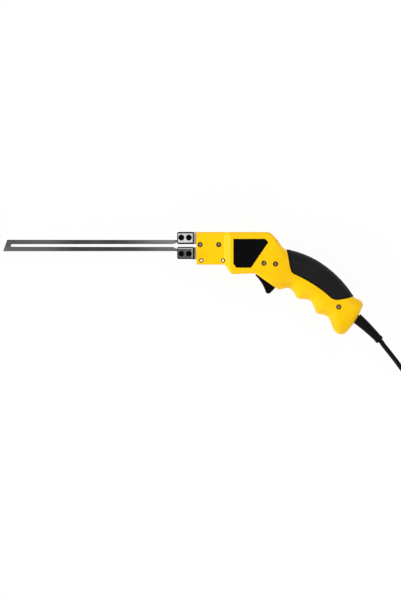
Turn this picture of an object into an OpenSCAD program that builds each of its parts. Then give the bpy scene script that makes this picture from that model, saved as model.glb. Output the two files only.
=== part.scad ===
/* [Blade] */
// Length of the blade in front of the clamps
blade_len = 200; // [100:5:260]
// Width of the blade over both arms
blade_w = 12; // [10:0.5:13]
// Thickness of the blade
blade_t = 1.5; // [1:0.1:2]
// Width of the slot between the two arms
blade_slot = 3.6; // [2:0.1:5]
// How far the upper corner of the tip stands back from the lower one
tip_slant = 5.4; // [0:0.2:10]
// Metal left between the tip and the end of the slot
tip_land = 8.2; // [5:0.2:14]
// Length of the taper in front of the clamps
neck_len = 4.6; // [3:0.2:8]
// Width of each arm where it enters its clamp
neck_w = 2; // [1.5:0.1:3]
// Depth to which the tangs go into the clamps
tang_len = 14.5; // [12:0.5:15]

/* [Clamps] */
// Length of a clamp block along the blade
clamp_len = 18.2; // [17:0.2:24]
// Height of a clamp block
clamp_h = 13.6; // [13:0.1:15]
// Gap between the two blocks
clamp_gap = 3.6; // [3:0.1:6]
// Depth of a block from left to right
clamp_depth = 15; // [12:0.5:20]
// Chamfer along the edges of a block
clamp_chamfer = 1.3; // [0.5:0.1:2]
// Diameter of the clamp screws
clamp_screw_d = 6; // [5:0.5:6]
// Distance between the two screws of a block
clamp_screw_pitch = 8.7; // [8:0.1:9]
// Distance of a row of clamp screws from the axis of the blade
clamp_screw_row = 9.3; // [8.6:0.1:9.4]
// Thickness of the black gasket behind a block
gasket_t = 1.8; // [1:0.1:3]
// Thickness of the metal plate behind a gasket
plate_t = 2; // [1:0.1:3]

/* [Casing] */
// Length of the slim nose
nose_len = 31.7; // [28:0.1:36]
// Half the thickness of the nose
nose_half = 15; // [14:0.5:17]
// Height of the top edge above the axis of the blade
case_top = 15.4; // [15:0.1:18]
// Depth of the nose below the axis of the blade
nose_drop = 21.5; // [21:0.1:24]
// Depth of the body below the axis of the blade
body_drop = 32.5; // [32:0.1:36]
// Half the thickness of the body
body_half = 22; // [21:0.5:26]
// Length of the ramp from the nose up to the body
ramp_len = 6.8; // [4:0.2:8]
// Rounding of the long edges of the body
body_corner = 5; // [2:0.5:7]
// Wall of the casing
wall = 2.5; // [2:0.1:3]
// Diameter of the casing screws
case_screw_d = 3; // [2.5:0.1:3.5]
// Length of the casing screws below the head
case_screw_len = 20; // [14:1:22]
// Distance between the two guide holes in the nose
guide_pitch = 25; // [24:0.5:26]
// Diameter of the guide holes
guide_d = 3.2; // [2.5:0.1:4]

/* [Handle] */
// Radius of the back of the handle
back_r = 116; // [114:0.5:120]
// Mean radius of the finger side of the handle
finger_r = 71.5; // [70:0.5:73]
// Half the height of the finger waves
finger_wave = 2.9; // [0:0.1:3.5]
// Half the thickness of the handle
grip_half = 19; // [18:0.5:21]
// Half the thickness of the butt
butt_half = 20; // [18:0.5:21]
// Thickness of the rubber grip pad
pad_t = 2.5; // [1.5:0.1:3]
// Thickness of the side plates
side_plate_t = 1.2; // [0.8:0.1:1.6]

/* [Trigger] */
// Width of the trigger from left to right
trigger_w = 12; // [9:0.5:13]
// Angle through which the trigger is pulled
trigger_pull = 10; // [4:1:10]
// Diameter of the trigger's pivot pin
pin_d = 3; // [2:0.5:3.5]
// Diameter of the wire of the return spring
spring_wire = 0.8; // [0.5:0.1:1]
// Outside diameter of the return spring
spring_d = 6; // [5:0.5:7]

/* [Transformer] */
// Thickness of the stack of laminations
stack = 22; // [18:1:24]
// Height of the leg that carries the coil
core_leg = 12; // [10:0.5:12]
// Thickness of the copper bars
bar_t = 2.5; // [1.5:0.1:3]
// Width of the copper bars
bar_w = 6.6; // [5:0.2:7]

/* [Cord] */
// Diameter of the mains cord
cord_d = 5.2; // [4.8:0.1:6]
// Diameter of the strain relief where it leaves the handle
boot_d = 11.3; // [10:0.1:13]
// Turns of the coil on the way in, and again on the way out
coil_turns = 4.2; // [3.2:0.5:4.2]
// Radius of the innermost turn
coil_inner_r = 21; // [21:0.5:24]
// Clear space between neighbouring turns
coil_space = 0.5; // [0.45:0.05:1]
// Diameter of the plug's pins
plug_pin_d = 4; // [3.5:0.1:4.8]
// Distance between the plug's pins
plug_pin_pitch = 18.6; // [17:0.1:19]

/* [Hidden] */
$fn = 48;

// Clearances: a press-in seat, a running fit and free space
seat_gap = 0.1;
run_gap = 0.05;
free_gap = 0.5;
// Overrun of a cut past the face that it opens
over = 1;
// Overlap of two shapes that make one piece
joined = 0.01;

// Distances along the tool, measured back from the front face of the casing
screw_ahead = 0.2;
clamp_back = -(plate_t + gasket_t);
clamp_front = clamp_back - clamp_len;
tip_x = clamp_front - blade_len;
screw_mid_x = clamp_front + clamp_len / 2 - screw_ahead;
tang_in = blade_w / 2 - neck_w;
tang_out = clamp_screw_row + clamp_screw_d / 2 + free_gap;
tang_step = 1.2;
// Socket screws of the clamps: how far they stand out and how deep the socket is
screw_proud = 0.3;
socket_deep = 2.2;
socket_d = clamp_screw_d / 2 + 0.4;
// The gaskets stand back from the edge of the blocks, and the plates stand out
gasket_inset = 0.4;
plate_proud = 0.6;

// The lower edge drops from the nose to the body in a soft step
drop_from = 29.7;
drop_run = 12;

// The handle is swept about this centre, and angles are measured there. Both its arcs keep their distance
// from the centre at the middle angle, whatever their radius
grip_centre = [81.3, -118.6];
grip_mid = 62;
back_mid = 116;
finger_mid = 71.5;
head_angle = 99;
slope_from = 90.2;
slope_to = 79;
finger_first = 79.8;
finger_pitch = 21.3;
finger_last = finger_first - 2.5 * finger_pitch;
finger_step = 5;
heel_swell = 5.6;
skew_from = 40;
skew_to = [19.5, 30];
heel_from = 31.4;
heel_run = 7;
body_fade = [70, 88];
butt_fade = [24, 44];
round_from = 88;
round_run = 12;
butt_run = 14;
tilted_x = [54, 50];
nose_corner = 3;
grip_ra = 15;
butt_ra = 12;
butt_rz = 15;
// The lower front edge of the handle, where the trigger comes out
edge_start = [67.9, -body_drop];
edge_dir = [cos(35.2), -sin(35.2)];
// Corners of the butt: where each rounding starts, its corner and where it ends
toe = [[156.5, -93.5], [161, -103], [170.5, -101]];
heel = [[187, -62.3], [193, -66], [190.3, -71]];
butt_bulge = 1.6;
butt_flat = 0.6;
butt_end_half = butt_half - 6;

// Casing screws: place and the local half thickness of the casing
screw_head_d = 5.4;
screw_head_t = 2.4;
screw_sink = 1;
cross_len = 3.2;
cross_w = 0.8;
cross_deep = 1.3;
boss_r = 4;
pilot_extra = 2;
case_screws = [[[4.3, 1.1], nose_half], [[25.7, 1.1], nose_half], [[77.5, -20.2], body_half],
    [[90.8, -21.1], half_at(84.4)], [[163.4, -70.4], butt_half]];
guide_at = [5.6, -17];
guide_sink_d = guide_d + 1.8;
guide_sink_t = 1.4;
sink_over = 0.2;
guide_boss_r = 3.4;

// Rubber pad on the back of the handle, in angles and radii about the grip centre
pad_low_r = back_mid - 24.5;
pad_corner = [back_mid - 12.4, 33.5];
pad_front = [79.3, 72.2];
pad_rear = [31.2, 36.2];
pad_reach = 12;
pad_steps = 12;

// Plates in the sides of the body: corners along the tool and about the blade's axis
side_plate_corners = [[42.6, 7.5], [78.6, 7.5], [82.4, 3.9], [62.6, -25.2], [45.8, -25.2], [42.6, -20.8]];
side_plate_sunk = 0.3;

// Trigger
pivot = [77, -32];
hub_r = 3.6;
pin_half = trigger_w / 2 + 8.5;
trigger_front = [[68.3, -34.1], [75.6, -41.4], [79.6, -51.7]];
trigger_tip = [82.9, -51.7];
trigger_tip_r = 3.3;
trigger_back = [[86.4, -52.2], [89.7, -48.6]];
trigger_root = [[72.6, -33], [68.3, -33]];
plunger_x = 99;
plunger_r = 2;
plunger_travel = 4.5;
plunger_arm = plunger_x - pivot[0];
arm_end_x = 110.5;
face_end_x = 92;
arm_half = 3.4;
arm_t = 2.6;
arm_step_x = plunger_x + 4;
spring_x = 107;
spring_seat_y = -42;
spring_turns = 6;
slot_gap = 0.6;

// Switch
switch_low = [95.3, -26];
switch_size = [18, 12.5];
switch_half = 5;
switch_post = [6, 5];
switch_post_at = [switch_low[0] + switch_size[0] - switch_post[0] - 1, switch_low[1] + 1];
plunger_top = switch_low[1] + 7.5;

// Transformer
core_x = [40.5, 72.5];
core_mid_y = -8.5;
core_yoke = 6;
core_window = 8.5;
core_half_y = core_leg / 2 + core_window + core_yoke;
former_t = 1.2;
winding_room = 1.2;
winding_y = core_window - seat_gap - former_t - winding_room;
winding_z = body_half - wall - stack / 2 - seat_gap - former_t - winding_room;
former_y = core_leg / 2 + seat_gap;
former_z = stack / 2 + seat_gap;
loop_w = 5.5;
loop_gap = 0.8;
loop_x = [core_x[0] + core_yoke + loop_gap, core_x[0] + core_yoke + loop_gap + loop_w];
former_x = [loop_x[1] + free_gap, core_x[1] - core_yoke - free_gap];
bar_out = 0.8;
bar_row = clamp_gap / 2 + clamp_h / 2 + bar_out;
bar_side_z = stack / 2 + free_gap + bar_t / 2;
loop_leg_y = core_leg / 2 + free_gap + bar_t / 2;
bar_bend = [33, 39.5];
core_posts = [[60, 1], [69.3, 1], [43.5, -1], [69.3, -1]];
post_r = 2.4;
insulator_x = [10, 20];
insulator_edge = 2;

// Strain relief: it leaves the butt here and bends down a little
boot_route = [[184.3, -83.4, 0], [198.5, -93.7, -0.4], [210.4, -108.2, -1.5]];
boot_end_d = 7.8;
collar_d = 9.5;
collar_share = 0.9;
neck_d = 9;
flange_d = 13;
flange_t = 2.5;
cord_grip_at = 13.5;
inner_cord_end = 17.5;
clamp_bar = [7, 4, 22];
clamp_post_y = 5;
clamp_post_z = 5;
cable_screw_d = 2.5;
cable_screw_z = 8;
cable_head_d = 1.8 * cable_screw_d;
cable_head_t = 1.6;

// Leads inside the casing
lead_d = 2;
lead_end = [former_x[1] + seat_gap, -8.5, former_z + former_t + winding_z / 2 + 0.4];
lead_z = lead_end[2];
live_route = [[170.9, -71.84, 0], [169.3, -70.66, 0], [167.6, -66, 0], [162, -60, 0], [154, -52.5, 0],
    [140, -42, 0], [126, -29, 0], [119, -22, 0], [switch_low[0] + switch_size[0] + seat_gap, -22, 0]];
neutral_route = [[169.18, -74.26, 0], [168.37, -73.67, 0], [165.5, -76.6, 0], [160, -77.6, 0], [151, -71, 0],
    [142, -60, 0], [131, -45, 1], [122, -31, 4], [115.5, -18.5, 8], [108, -15.8, 9], [98, -14, 10.5],
    [86, -11, lead_z - 3.7], [78, -8.5, lead_z - 0.7], [73, -8.5, lead_z], lead_end];
switch_route = [[switch_low[0] - seat_gap, -15, -2.5], [91, -14.8, -3], [86, -12.5, -8],
    [79, -9.5, 2.2 - lead_z], [73, -8.5, -lead_z], [lead_end[0], lead_end[1], -lead_z]];

// Free cord: it sags from the strain relief to the table and runs into the coil
table_z = -body_half;
coil_centre = [292, -138.5];
coil_start = 216;
tie_t = 0.8;
coil_low = table_z + cord_d / 2 + tie_t + 2 * seat_gap;
coil_pitch = cord_d + coil_space;
run_route = [[215.3, -114.4, -3.2], [219.9, -120.1, -6], [224.6, -126, -8.4], [229.2, -131.8, -10.8],
    [235.5, -140.2, -13.8], [242.3, -148.6, -16.5]];
tie_angle = 90;
tie_w = 12;
plug_len = 36;
plug_w = 34;
plug_t = 14;
plug_pin_len = 19;
plug_gap_y = 34;
plug_shoulder = 10;
plug_corner = 5;
sleeve_d = cord_d + 3;
tail_lift = 0.4;

// Small helpers
function mix(a, b, t) = a + (b - a) * t;
function clip(t) = min(max(t, 0), 1);
function smooth(t) = let (c = clip(t)) c * c * (3 - 2 * c);
function bend(p, t) = pow(1 - t, 2) * p[0] + 2 * t * (1 - t) * p[1] + t * t * p[2];
function unit(v) = v / norm(v);
function flat(p) = [p[0], p[1]];
function polar(r, a) = grip_centre + r * [cos(a), sin(a)];
function turn(e, r) = e / r * 180 / PI;
function cross2(a, b) = a[0] * b[1] - a[1] * b[0];

// Casing outline about the grip centre
function fade(a, ends) = smooth((a - ends[0]) / (ends[1] - ends[0]));
function arc_at(a, r, mid) = let (d = mid - r, c = cos(a - grip_mid)) d * c + sqrt(r * r - d * d * (1 - c * c));
function back_at(a) = a > slope_from
    ? (case_top - grip_centre[1]) / sin(a)
    : mix(arc_at(a, back_r, back_mid), case_top - grip_centre[1], fade(a, [slope_to, slope_from]))
        + heel_swell * smooth((heel_from - a) / heel_run);
function edge_at(a) = cross2(edge_start - grip_centre, edge_dir) / cross2([cos(a), sin(a)], edge_dir);
function wave_at(a) = arc_at(a, finger_r, finger_mid)
    - finger_wave * cos(360 * (max(a, finger_last) - finger_first) / finger_pitch)
    + finger_step * smooth((skew_from - a) / (skew_from - finger_last));
function front_at(a) = a > finger_first ? max(edge_at(a), wave_at(a)) : wave_at(a);
function half_at(a) = a > grip_mid
    ? mix(grip_half, body_half, fade(a, body_fade))
    : mix(butt_half, grip_half, fade(a, butt_fade));

// A station is [finger-side point, back point, half thickness, corner depth, corner height, share of the grip]
function upright(x) = let (rise = clip((x - nose_len) / ramp_len))
    [[x, -mix(nose_drop, body_drop, smooth((x - drop_from) / drop_run))], [x, case_top],
     mix(nose_half, body_half, rise), mix(nose_corner, body_corner, rise),
     mix(nose_corner, body_corner, rise), 0];
function swept(af, ab) = let (
        g = smooth((round_from - ab) / round_run), t = smooth((skew_from - ab) / butt_run), w = half_at(ab))
    [polar(front_at(af), af), polar(back_at(ab), ab), w,
     mix(mix(body_corner, grip_ra, g), butt_ra, t), mix(mix(body_corner, w - 1, g), butt_rz, t), g];
function rounded(t) = [bend(toe, t), bend(heel, t), mix(butt_half, butt_end_half, t * t),
     mix(butt_ra, butt_ra - 3, t), mix(butt_rz, butt_end_half - 2, t), 1];
function domed(s, share, out) = let (n = unit([s[1][1] - s[0][1], s[0][0] - s[1][0]]), m = (s[0] + s[1]) / 2)
    [mix(m, s[0], share) + n * out, mix(m, s[1], share) + n * out, s[2] * share, s[3] * share, s[4] * share, 1];

nose_xs = [0, wall, drop_from, nose_len, nose_len + ramp_len / 3, nose_len + ramp_len * 2 / 3,
    nose_len + ramp_len, drop_from + drop_run];
head_step = 2.5;
skew_steps = 8;
case_stations = concat(
    [for (x = nose_xs) upright(x)],
    [[[tilted_x[0], -body_drop], [tilted_x[1], case_top], body_half, body_corner, body_corner, 0]],
    [for (a = [head_angle : -head_step : skew_from]) swept(a, a)],
    [for (i = [1 : skew_steps])
        swept(mix(skew_from, skew_to[0], i / skew_steps), mix(skew_from, skew_to[1], i / skew_steps))],
    [for (t = [0 : 0.25 : 1]) rounded(t)],
    [domed(rounded(1), butt_flat, butt_bulge)]);
grip_xs = [85, 163];
grip_stations = [for (s = case_stations) if (s[1][0] > grip_xs[0] && s[0][0] < grip_xs[1]) s];

// Box of the tool without its cord, which gives the origin
out_x = [for (s = case_stations) for (p = [s[0], s[1]]) p[0]];
out_y = [for (s = case_stations) for (p = [s[0], s[1]]) p[1]];
mid_x = (tip_x + max(out_x)) / 2;
mid_y = (max(max(out_y), clamp_gap / 2 + clamp_h) + min(out_y)) / 2;

// Rings of the casing. Corners run from the back, over the side, to the finger side
corner_steps = 5;
function corner_points(a, w, ra, rz, from) = let (
        ca = cos(from + 45) > 0 ? a - ra : ra - a, cz = sin(from + 45) > 0 ? w - rz : rz - w)
    [for (i = [0 : corner_steps]) let (t = from + 90 * i / corner_steps) [ca + ra * cos(t), cz + rz * sin(t)]];
function ring_of(s, in_f, in_b, in_w, full) = let (
        e = unit(s[1] - s[0]), f = s[0] + e * in_f, b = s[1] - e * in_b, m = (f + b) / 2, a = norm(b - f) / 2,
        w = s[2] - in_w, ra = max(min(s[3], a - 0.5) - in_w, 1), rz = max(min(s[4], s[2] - 0.5) - in_w, 1),
        upper = concat(corner_points(a, w, ra, rz, 0), corner_points(a, w, ra, rz, 90)),
        lower = full ? concat(corner_points(a, w, ra, rz, 180), corner_points(a, w, ra, rz, 270))
            : [[-a, 0], [a, 0]])
    [for (p = concat(upper, lower)) [m[0] + e[0] * p[0], m[1] + e[1] * p[0], p[1]]];
function inset_of(s) = wall + pad_t * s[5];

module loft(rings) {
    n = len(rings[0]);
    last = len(rings) - 1;
    sides = [for (i = [0 : last - 1]) for (j = [0 : n - 1]) let (k = (j + 1) % n)
        each [[i * n + j, (i + 1) * n + j, (i + 1) * n + k], [i * n + j, (i + 1) * n + k, i * n + k]]];
    caps = [[for (j = [0 : n - 1]) j], [for (j = [n - 1 : -1 : 0]) last * n + j]];
    polyhedron(points = [for (r = rings) each r], faces = concat(sides, caps));
}

// A round tube along points, with its own radius at each point
function way(p, i) = unit(p[min(i + 1, len(p) - 1)] - p[max(i - 1, 0)]);
function tube_ring(c, d, r, sides) = let (u = unit(cross([0, 0, 1], d)), v = cross(d, u))
    [for (k = [0 : sides - 1]) c + r * (cos(360 * k / sides) * u + sin(360 * k / sides) * v)];
module tube(points, radii, sides) {
    loft([for (i = [0 : len(points) - 1]) tube_ring(points[i], way(points, i), radii[i], sides)]);
}
function even(r, points) = [for (p = points) r];

module seat() translate([-mid_x, -mid_y, body_half]) children();
module at_flat(p, z = 0) translate([p[0], p[1], z]) children();
module prism(points, low, high) translate([0, 0, low]) linear_extrude(high - low) polygon(points);

// Casing shells
cavity_first = 1;
cavity_last = len(case_stations) - 4;
outer_rings = [for (s = case_stations) ring_of(s, 0, 0, 0, false)];
inner_rings = [for (i = [cavity_first : cavity_last]) let (s = case_stations[i], inset = inset_of(s))
    ring_of(s, wall + s[5], inset, inset, false)];
// The hollow half is one closed surface: outside, inside and the flat parting face that joins them
module half_casing() {
    n = len(outer_rings[0]);
    last = len(outer_rings) - 1;
    base = len(outer_rings) * n;
    function out(i, j) = i * n + j;
    function into(i, j) = base + (i - cavity_first) * n + j;
    top = n - 1;
    low = n - 2;
    round_edges = [for (j = [0 : top]) if (j != low) j];
    outside = [for (i = [0 : last - 1]) for (j = round_edges) let (k = (j + 1) % n)
        each [[out(i, j), out(i + 1, j), out(i + 1, k)], [out(i, j), out(i + 1, k), out(i, k)]]];
    inside = [for (i = [cavity_first : cavity_last - 1]) for (j = round_edges) let (k = (j + 1) % n)
        each [[into(i, j), into(i + 1, k), into(i + 1, j)], [into(i, j), into(i, k), into(i + 1, k)]]];
    caps = [[for (j = [0 : top]) out(0, j)], [for (j = [top : -1 : 0]) out(last, j)],
        [for (j = [top : -1 : 0]) into(cavity_first, j)], [for (j = [0 : top]) into(cavity_last, j)]];
    strips = [for (i = [cavity_first : cavity_last - 1]) each [
        [out(i, top), into(i, top), into(i + 1, top)], [out(i, top), into(i + 1, top), out(i + 1, top)],
        [out(i, low), out(i + 1, low), into(i + 1, low)], [out(i, low), into(i + 1, low), into(i, low)]]];
    a = cavity_first;
    front = [[out(0, top), into(a, top), out(a, top)], [out(0, top), into(a, low), into(a, top)],
        [out(0, top), out(0, low), into(a, low)], [out(0, low), out(a, low), into(a, low)]];
    b = cavity_last;
    butt = concat(
        [for (i = [b : last - 1]) each [[into(b, top), out(i + 1, top), out(i, top)],
            [into(b, low), out(i, low), out(i + 1, low)]]],
        [[into(b, top), into(b, low), out(last, low)], [into(b, top), out(last, low), out(last, top)]]);
    polyhedron(points = [for (r = concat(outer_rings, inner_rings)) each r],
        faces = concat(outside, inside, caps, strips, front, butt));
}
function pad_region(e) = concat(
    [polar(back_mid + pad_reach, pad_front[0] + turn(e, back_mid)),
     polar(back_mid, pad_front[0] + turn(e, back_mid))],
    [for (i = [0 : pad_steps]) polar(pad_low_r - e,
        mix(pad_front[1] + turn(e, pad_low_r), pad_rear[1] - turn(e, pad_low_r), i / pad_steps))],
    [polar(pad_corner[0], pad_corner[1] - turn(e, pad_low_r)), polar(back_mid, pad_rear[0] - turn(e, back_mid)),
     polar(back_mid + pad_reach, pad_rear[0] - 1 - turn(e, back_mid))]);
module pad_core(inset) loft([for (s = grip_stations) ring_of(s, inset, inset, inset, true)]);
module pad_pocket() difference() {
    prism(pad_region(seat_gap), -over, body_half);
    pad_core(pad_t + seat_gap);
}
module side_plate_shape(e) offset(delta = e) polygon(side_plate_corners);
trigger_slot = [[67.2, -body_drop + wall + over], [67.2, -41], [78, -60], [95.4, -60], [95.4, -44], [88, -34]];
boot_dir = unit(flat(boot_route[1] - boot_route[0]));
boot_angle = atan2(boot_dir[1], boot_dir[0]);
module along_boot(back) at_flat(flat(boot_route[0]) - boot_dir * back) rotate([0, 0, boot_angle]) children();
module boot_bore() along_boot(0) rotate([0, 90, 0])
    translate([0, 0, -20]) cylinder(r = neck_d / 2 + seat_gap, h = 30);
function bar_window(side) = [-over - plate_t, side * bar_row - bar_w / 2 - seat_gap * 2,
    -bar_t / 2 - seat_gap * 2];
module bar_windows() for (side = [1, -1]) translate(bar_window(side))
    cube([plate_t + wall + 2 * over + free_gap, bar_w + 4 * seat_gap, bar_t + 4 * seat_gap]);
guide_holes = [guide_at, guide_at + [guide_pitch, 0]];

module shell_posts() {
    for (s = case_screws) at_flat(s[0]) cylinder(r = boss_r, h = s[1] - wall / 2);
    for (g = guide_holes) at_flat(g) cylinder(r = guide_boss_r, h = nose_half - wall / 2);
    at_flat(pivot, trigger_w / 2 + free_gap)
        cylinder(r = hub_r, h = body_half - wall / 2 - trigger_w / 2 - free_gap);
    for (p = core_posts)
        at_flat([p[0], core_mid_y + p[1] * (core_half_y - core_yoke / 2)], stack / 2 + seat_gap)
            cylinder(r = post_r, h = body_half - wall / 2 - stack / 2 - seat_gap);
    translate([switch_post_at[0], switch_post_at[1], switch_half + seat_gap])
        cube([switch_post[0], switch_post[1], grip_half - pad_t - wall / 2 - switch_half]);
    along_boot(cord_grip_at) translate([-clamp_bar[0] / 2, -clamp_post_y, clamp_post_z])
        cube([clamp_bar[0], clamp_post_y + cord_d / 2 - seat_gap, butt_half - wall - clamp_post_z]);
}
module shell_cuts() {
    for (g = guide_holes) at_flat(g, -over) cylinder(d = guide_d, h = nose_half + 2 * over);
    for (g = guide_holes) at_flat(g, nose_half - guide_sink_t)
        cylinder(d1 = guide_d, d2 = guide_sink_d + 2 * sink_over, h = guide_sink_t + sink_over);
    at_flat(pivot, -over) cylinder(r = pin_d / 2 + run_gap / 2, h = pin_half + free_gap + over);
    prism(trigger_slot, -over, trigger_w / 2 + slot_gap / 2);
    translate([0, 0, body_half - side_plate_t - side_plate_sunk - seat_gap])
        linear_extrude(side_plate_t + over) side_plate_shape(seat_gap);
    boot_bore();
    bar_windows();
    pad_pocket();
}
module half_shell() {
    difference() {
        union() {
            half_casing();
            shell_posts();
        }
        shell_cuts();
        children();
    }
}
module left_shell() color("gold") half_shell() {
    union() for (s = case_screws) at_flat(s[0], -over) {
        cylinder(r = case_screw_d / 2 + seat_gap, h = s[1] + over);
        translate([0, 0, s[1] - screw_sink - screw_head_t + over])
            cylinder(r = screw_head_d / 2 + 2 * seat_gap, h = screw_head_t + screw_sink + over);
    }
}
module right_shell() color("gold") mirror([0, 0, 1]) half_shell() {
    union() for (s = case_screws) at_flat(s[0], -over)
        cylinder(r = case_screw_d / 2 + run_gap,
            h = over + case_screw_len - (s[1] - screw_sink - screw_head_t) + pilot_extra);
}
module grip_pad() color("dimgray") intersection() {
    difference() {
        pad_core(0);
        pad_core(pad_t);
    }
    prism(pad_region(0), -body_half, body_half);
}
module side_plate() color("black")
    translate([0, 0, body_half - side_plate_t - side_plate_sunk])
        linear_extrude(side_plate_t) side_plate_shape(0);
module left_side_plate() side_plate();
module right_side_plate() mirror([0, 0, 1]) side_plate();
module casing_screws() color("black") for (s = case_screws)
    at_flat(s[0], s[1] - screw_sink - screw_head_t) difference() {
        union() {
            cylinder(d = screw_head_d, h = screw_head_t);
            translate([0, 0, -case_screw_len]) cylinder(d = case_screw_d, h = case_screw_len + joined);
        }
        for (t = [0, 90]) rotate([0, 0, t])
            translate([-cross_len / 2, -cross_w / 2, screw_head_t - cross_deep])
                cube([cross_len, cross_w, cross_deep + over]);
    }

// Blade and clamps
module tang(side) {
    y = side > 0 ? tang_in : -tang_out;
    translate([clamp_front + tang_step, y]) square([tang_len - tang_step, tang_out - tang_in]);
    translate([clamp_front - joined, side > 0 ? tang_in : -blade_w / 2])
        square([tang_step + 2 * joined, neck_w]);
}
module blade() color("slategray") translate([0, 0, -blade_t / 2]) linear_extrude(blade_t) {
    difference() {
        polygon([[tip_x, -blade_w / 2], [clamp_front, -blade_w / 2], [clamp_front, blade_w / 2],
            [tip_x + tip_slant, blade_w / 2]]);
        translate([tip_x + tip_land + blade_slot / 2, 0]) circle(d = blade_slot);
        translate([tip_x + tip_land + blade_slot / 2, -blade_slot / 2])
            square([blade_len - tip_land, blade_slot]);
        polygon([[clamp_front - neck_len, blade_slot / 2], [clamp_front - seat_gap, tang_in],
            [clamp_front + over, tang_in], [clamp_front + over, -tang_in], [clamp_front - seat_gap, -tang_in],
            [clamp_front - neck_len, -blade_slot / 2]]);
    }
    tang(1);
    tang(-1);
}
function chamfered(w, h, c) = [[c, 0], [w - c, 0], [w, c], [w, h - c], [w - c, h], [c, h], [0, h - c], [0, c]];
function clamp_screw_x(rear) = screw_mid_x + (rear ? 1 : -1) * clamp_screw_pitch / 2;
module clamp(side) {
    low = side > 0 ? clamp_gap / 2 : -clamp_gap / 2 - clamp_h;
    slot_h = tang_out - tang_in + 4 * seat_gap;
    slot_low = side > 0 ? tang_in - 2 * seat_gap : -tang_out - 2 * seat_gap;
    color(side > 0 ? "silver" : "gray") difference() {
        intersection() {
            translate([clamp_front, low, -clamp_depth / 2])
                linear_extrude(clamp_depth) polygon(chamfered(clamp_len, clamp_h, clamp_chamfer / 2));
            translate([clamp_front, low, -clamp_depth / 2]) rotate([90, 0, 90])
                linear_extrude(clamp_len) polygon(chamfered(clamp_h, clamp_depth, clamp_chamfer));
        }
        translate([clamp_front - over, slot_low, -blade_t / 2 - seat_gap])
            cube([tang_len + over + seat_gap, slot_h, blade_t + 2 * seat_gap]);
        for (rear = [false, true]) translate([clamp_screw_x(rear), side * clamp_screw_row, 0])
            cylinder(r = clamp_screw_d / 2 + run_gap, h = clamp_depth);
    }
}
module upper_clamp() clamp(1);
module lower_clamp() clamp(-1);
clamp_screw_low = blade_t / 2 + run_gap;
module clamp_screw(side, rear) color("black")
    translate([clamp_screw_x(rear), side * clamp_screw_row, clamp_screw_low]) difference() {
        cylinder(d = clamp_screw_d, h = clamp_depth / 2 - clamp_screw_low + screw_proud);
        translate([0, 0, clamp_depth / 2 - clamp_screw_low - socket_deep])
            cylinder(d = socket_d, h = socket_deep + over, $fn = 6);
    }
module upper_front_screw() clamp_screw(1, false);
module upper_rear_screw() clamp_screw(1, true);
module lower_front_screw() clamp_screw(-1, false);
module lower_rear_screw() clamp_screw(-1, true);
module backing(side, x, t, more) difference() {
    translate([x, side > 0 ? clamp_gap / 2 : -clamp_gap / 2 - clamp_h - more, -clamp_depth / 2 - more])
        cube([t, clamp_h + more, clamp_depth + 2 * more]);
    translate([x - over, side * bar_row - bar_w / 2 - seat_gap, -bar_t / 2 - seat_gap])
        cube([t + 2 * over, bar_w + 2 * seat_gap, bar_t + 2 * seat_gap]);
}
module upper_gasket() color("black") backing(1, clamp_back, gasket_t, -gasket_inset);
module lower_gasket() color("black") backing(-1, clamp_back, gasket_t, -gasket_inset);
module upper_plate() color("lightgray") backing(1, -plate_t, plate_t, plate_proud);
module lower_plate() color("lightgray") backing(-1, -plate_t, plate_t, plate_proud);

// Transformer and copper
bar_path = [[clamp_back, 0], [bar_bend[0], 0], [bar_bend[1], bar_side_z], [loop_x[1], bar_side_z]];
module bar_strip(side) {
    z = bar_t / 2;
    translate([0, side * bar_row + bar_w / 2, 0]) rotate([90, 0, 0]) linear_extrude(bar_w)
        polygon([bar_path[0] - [0, z], bar_path[1] + [1, -z], bar_path[2] + [1, -z], bar_path[3] - [0, z],
            bar_path[3] + [0, z], bar_path[2] + [-1, z], bar_path[1] + [-1, z], bar_path[0] + [0, z]]);
}
module busbar(side) color("peru") {
    reach = core_mid_y + side * (loop_leg_y - bar_t / 2);
    row = side * bar_row;
    bar_strip(side);
    translate([loop_x[0], min(reach, row), bar_side_z - bar_t / 2])
        cube([loop_x[1] - loop_x[0], abs(row - reach), bar_t]);
}
module upper_busbar() busbar(1);
module lower_busbar() busbar(-1);
module secondary_loop() color("peru") {
    top = stack / 2 + free_gap;
    bottom = -top - bar_t;
    for (side = [1, -1])
        translate([loop_x[0], core_mid_y + side * loop_leg_y - bar_t / 2, bottom])
            cube([loop_x[1] - loop_x[0], bar_t, top - bottom]);
    translate([loop_x[0], core_mid_y - loop_leg_y, bottom])
        cube([loop_x[1] - loop_x[0], 2 * loop_leg_y, bar_t]);
}
module nose_insulator() color("saddlebrown") difference() {
    translate([insulator_x[0], -nose_drop + wall + seat_gap, -nose_half + wall + seat_gap])
        cube([insulator_x[1] - insulator_x[0], nose_drop + case_top - 2 * (wall + seat_gap),
            2 * (nose_half - wall - seat_gap)]);
    for (side = [1, -1])
        translate([insulator_x[0] - over, side * bar_row - bar_w / 2 - seat_gap, -bar_t / 2 - seat_gap])
            cube([insulator_x[1] - insulator_x[0] + 2 * over, bar_w + 2 * seat_gap, bar_t + 2 * seat_gap]);
    for (y = [-nose_drop + wall, case_top - wall]) for (z = [-1, 1])
        translate([insulator_x[0] - over, y, z * (nose_half - wall)]) rotate([45, 0, 0])
            cube([4 * (insulator_x[1] - insulator_x[0]), insulator_edge, insulator_edge], center = true);
}
module transformer_core() color("darkslategray") difference() {
    translate([core_x[0], core_mid_y - core_half_y, -stack / 2])
        cube([core_x[1] - core_x[0], 2 * core_half_y, stack]);
    for (side = [1, -1])
        translate([core_x[0] + core_yoke,
            core_mid_y + (side > 0 ? core_leg / 2 : -core_leg / 2 - core_window), -stack])
            cube([core_x[1] - core_x[0] - 2 * core_yoke, core_window, 2 * stack]);
}
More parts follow.
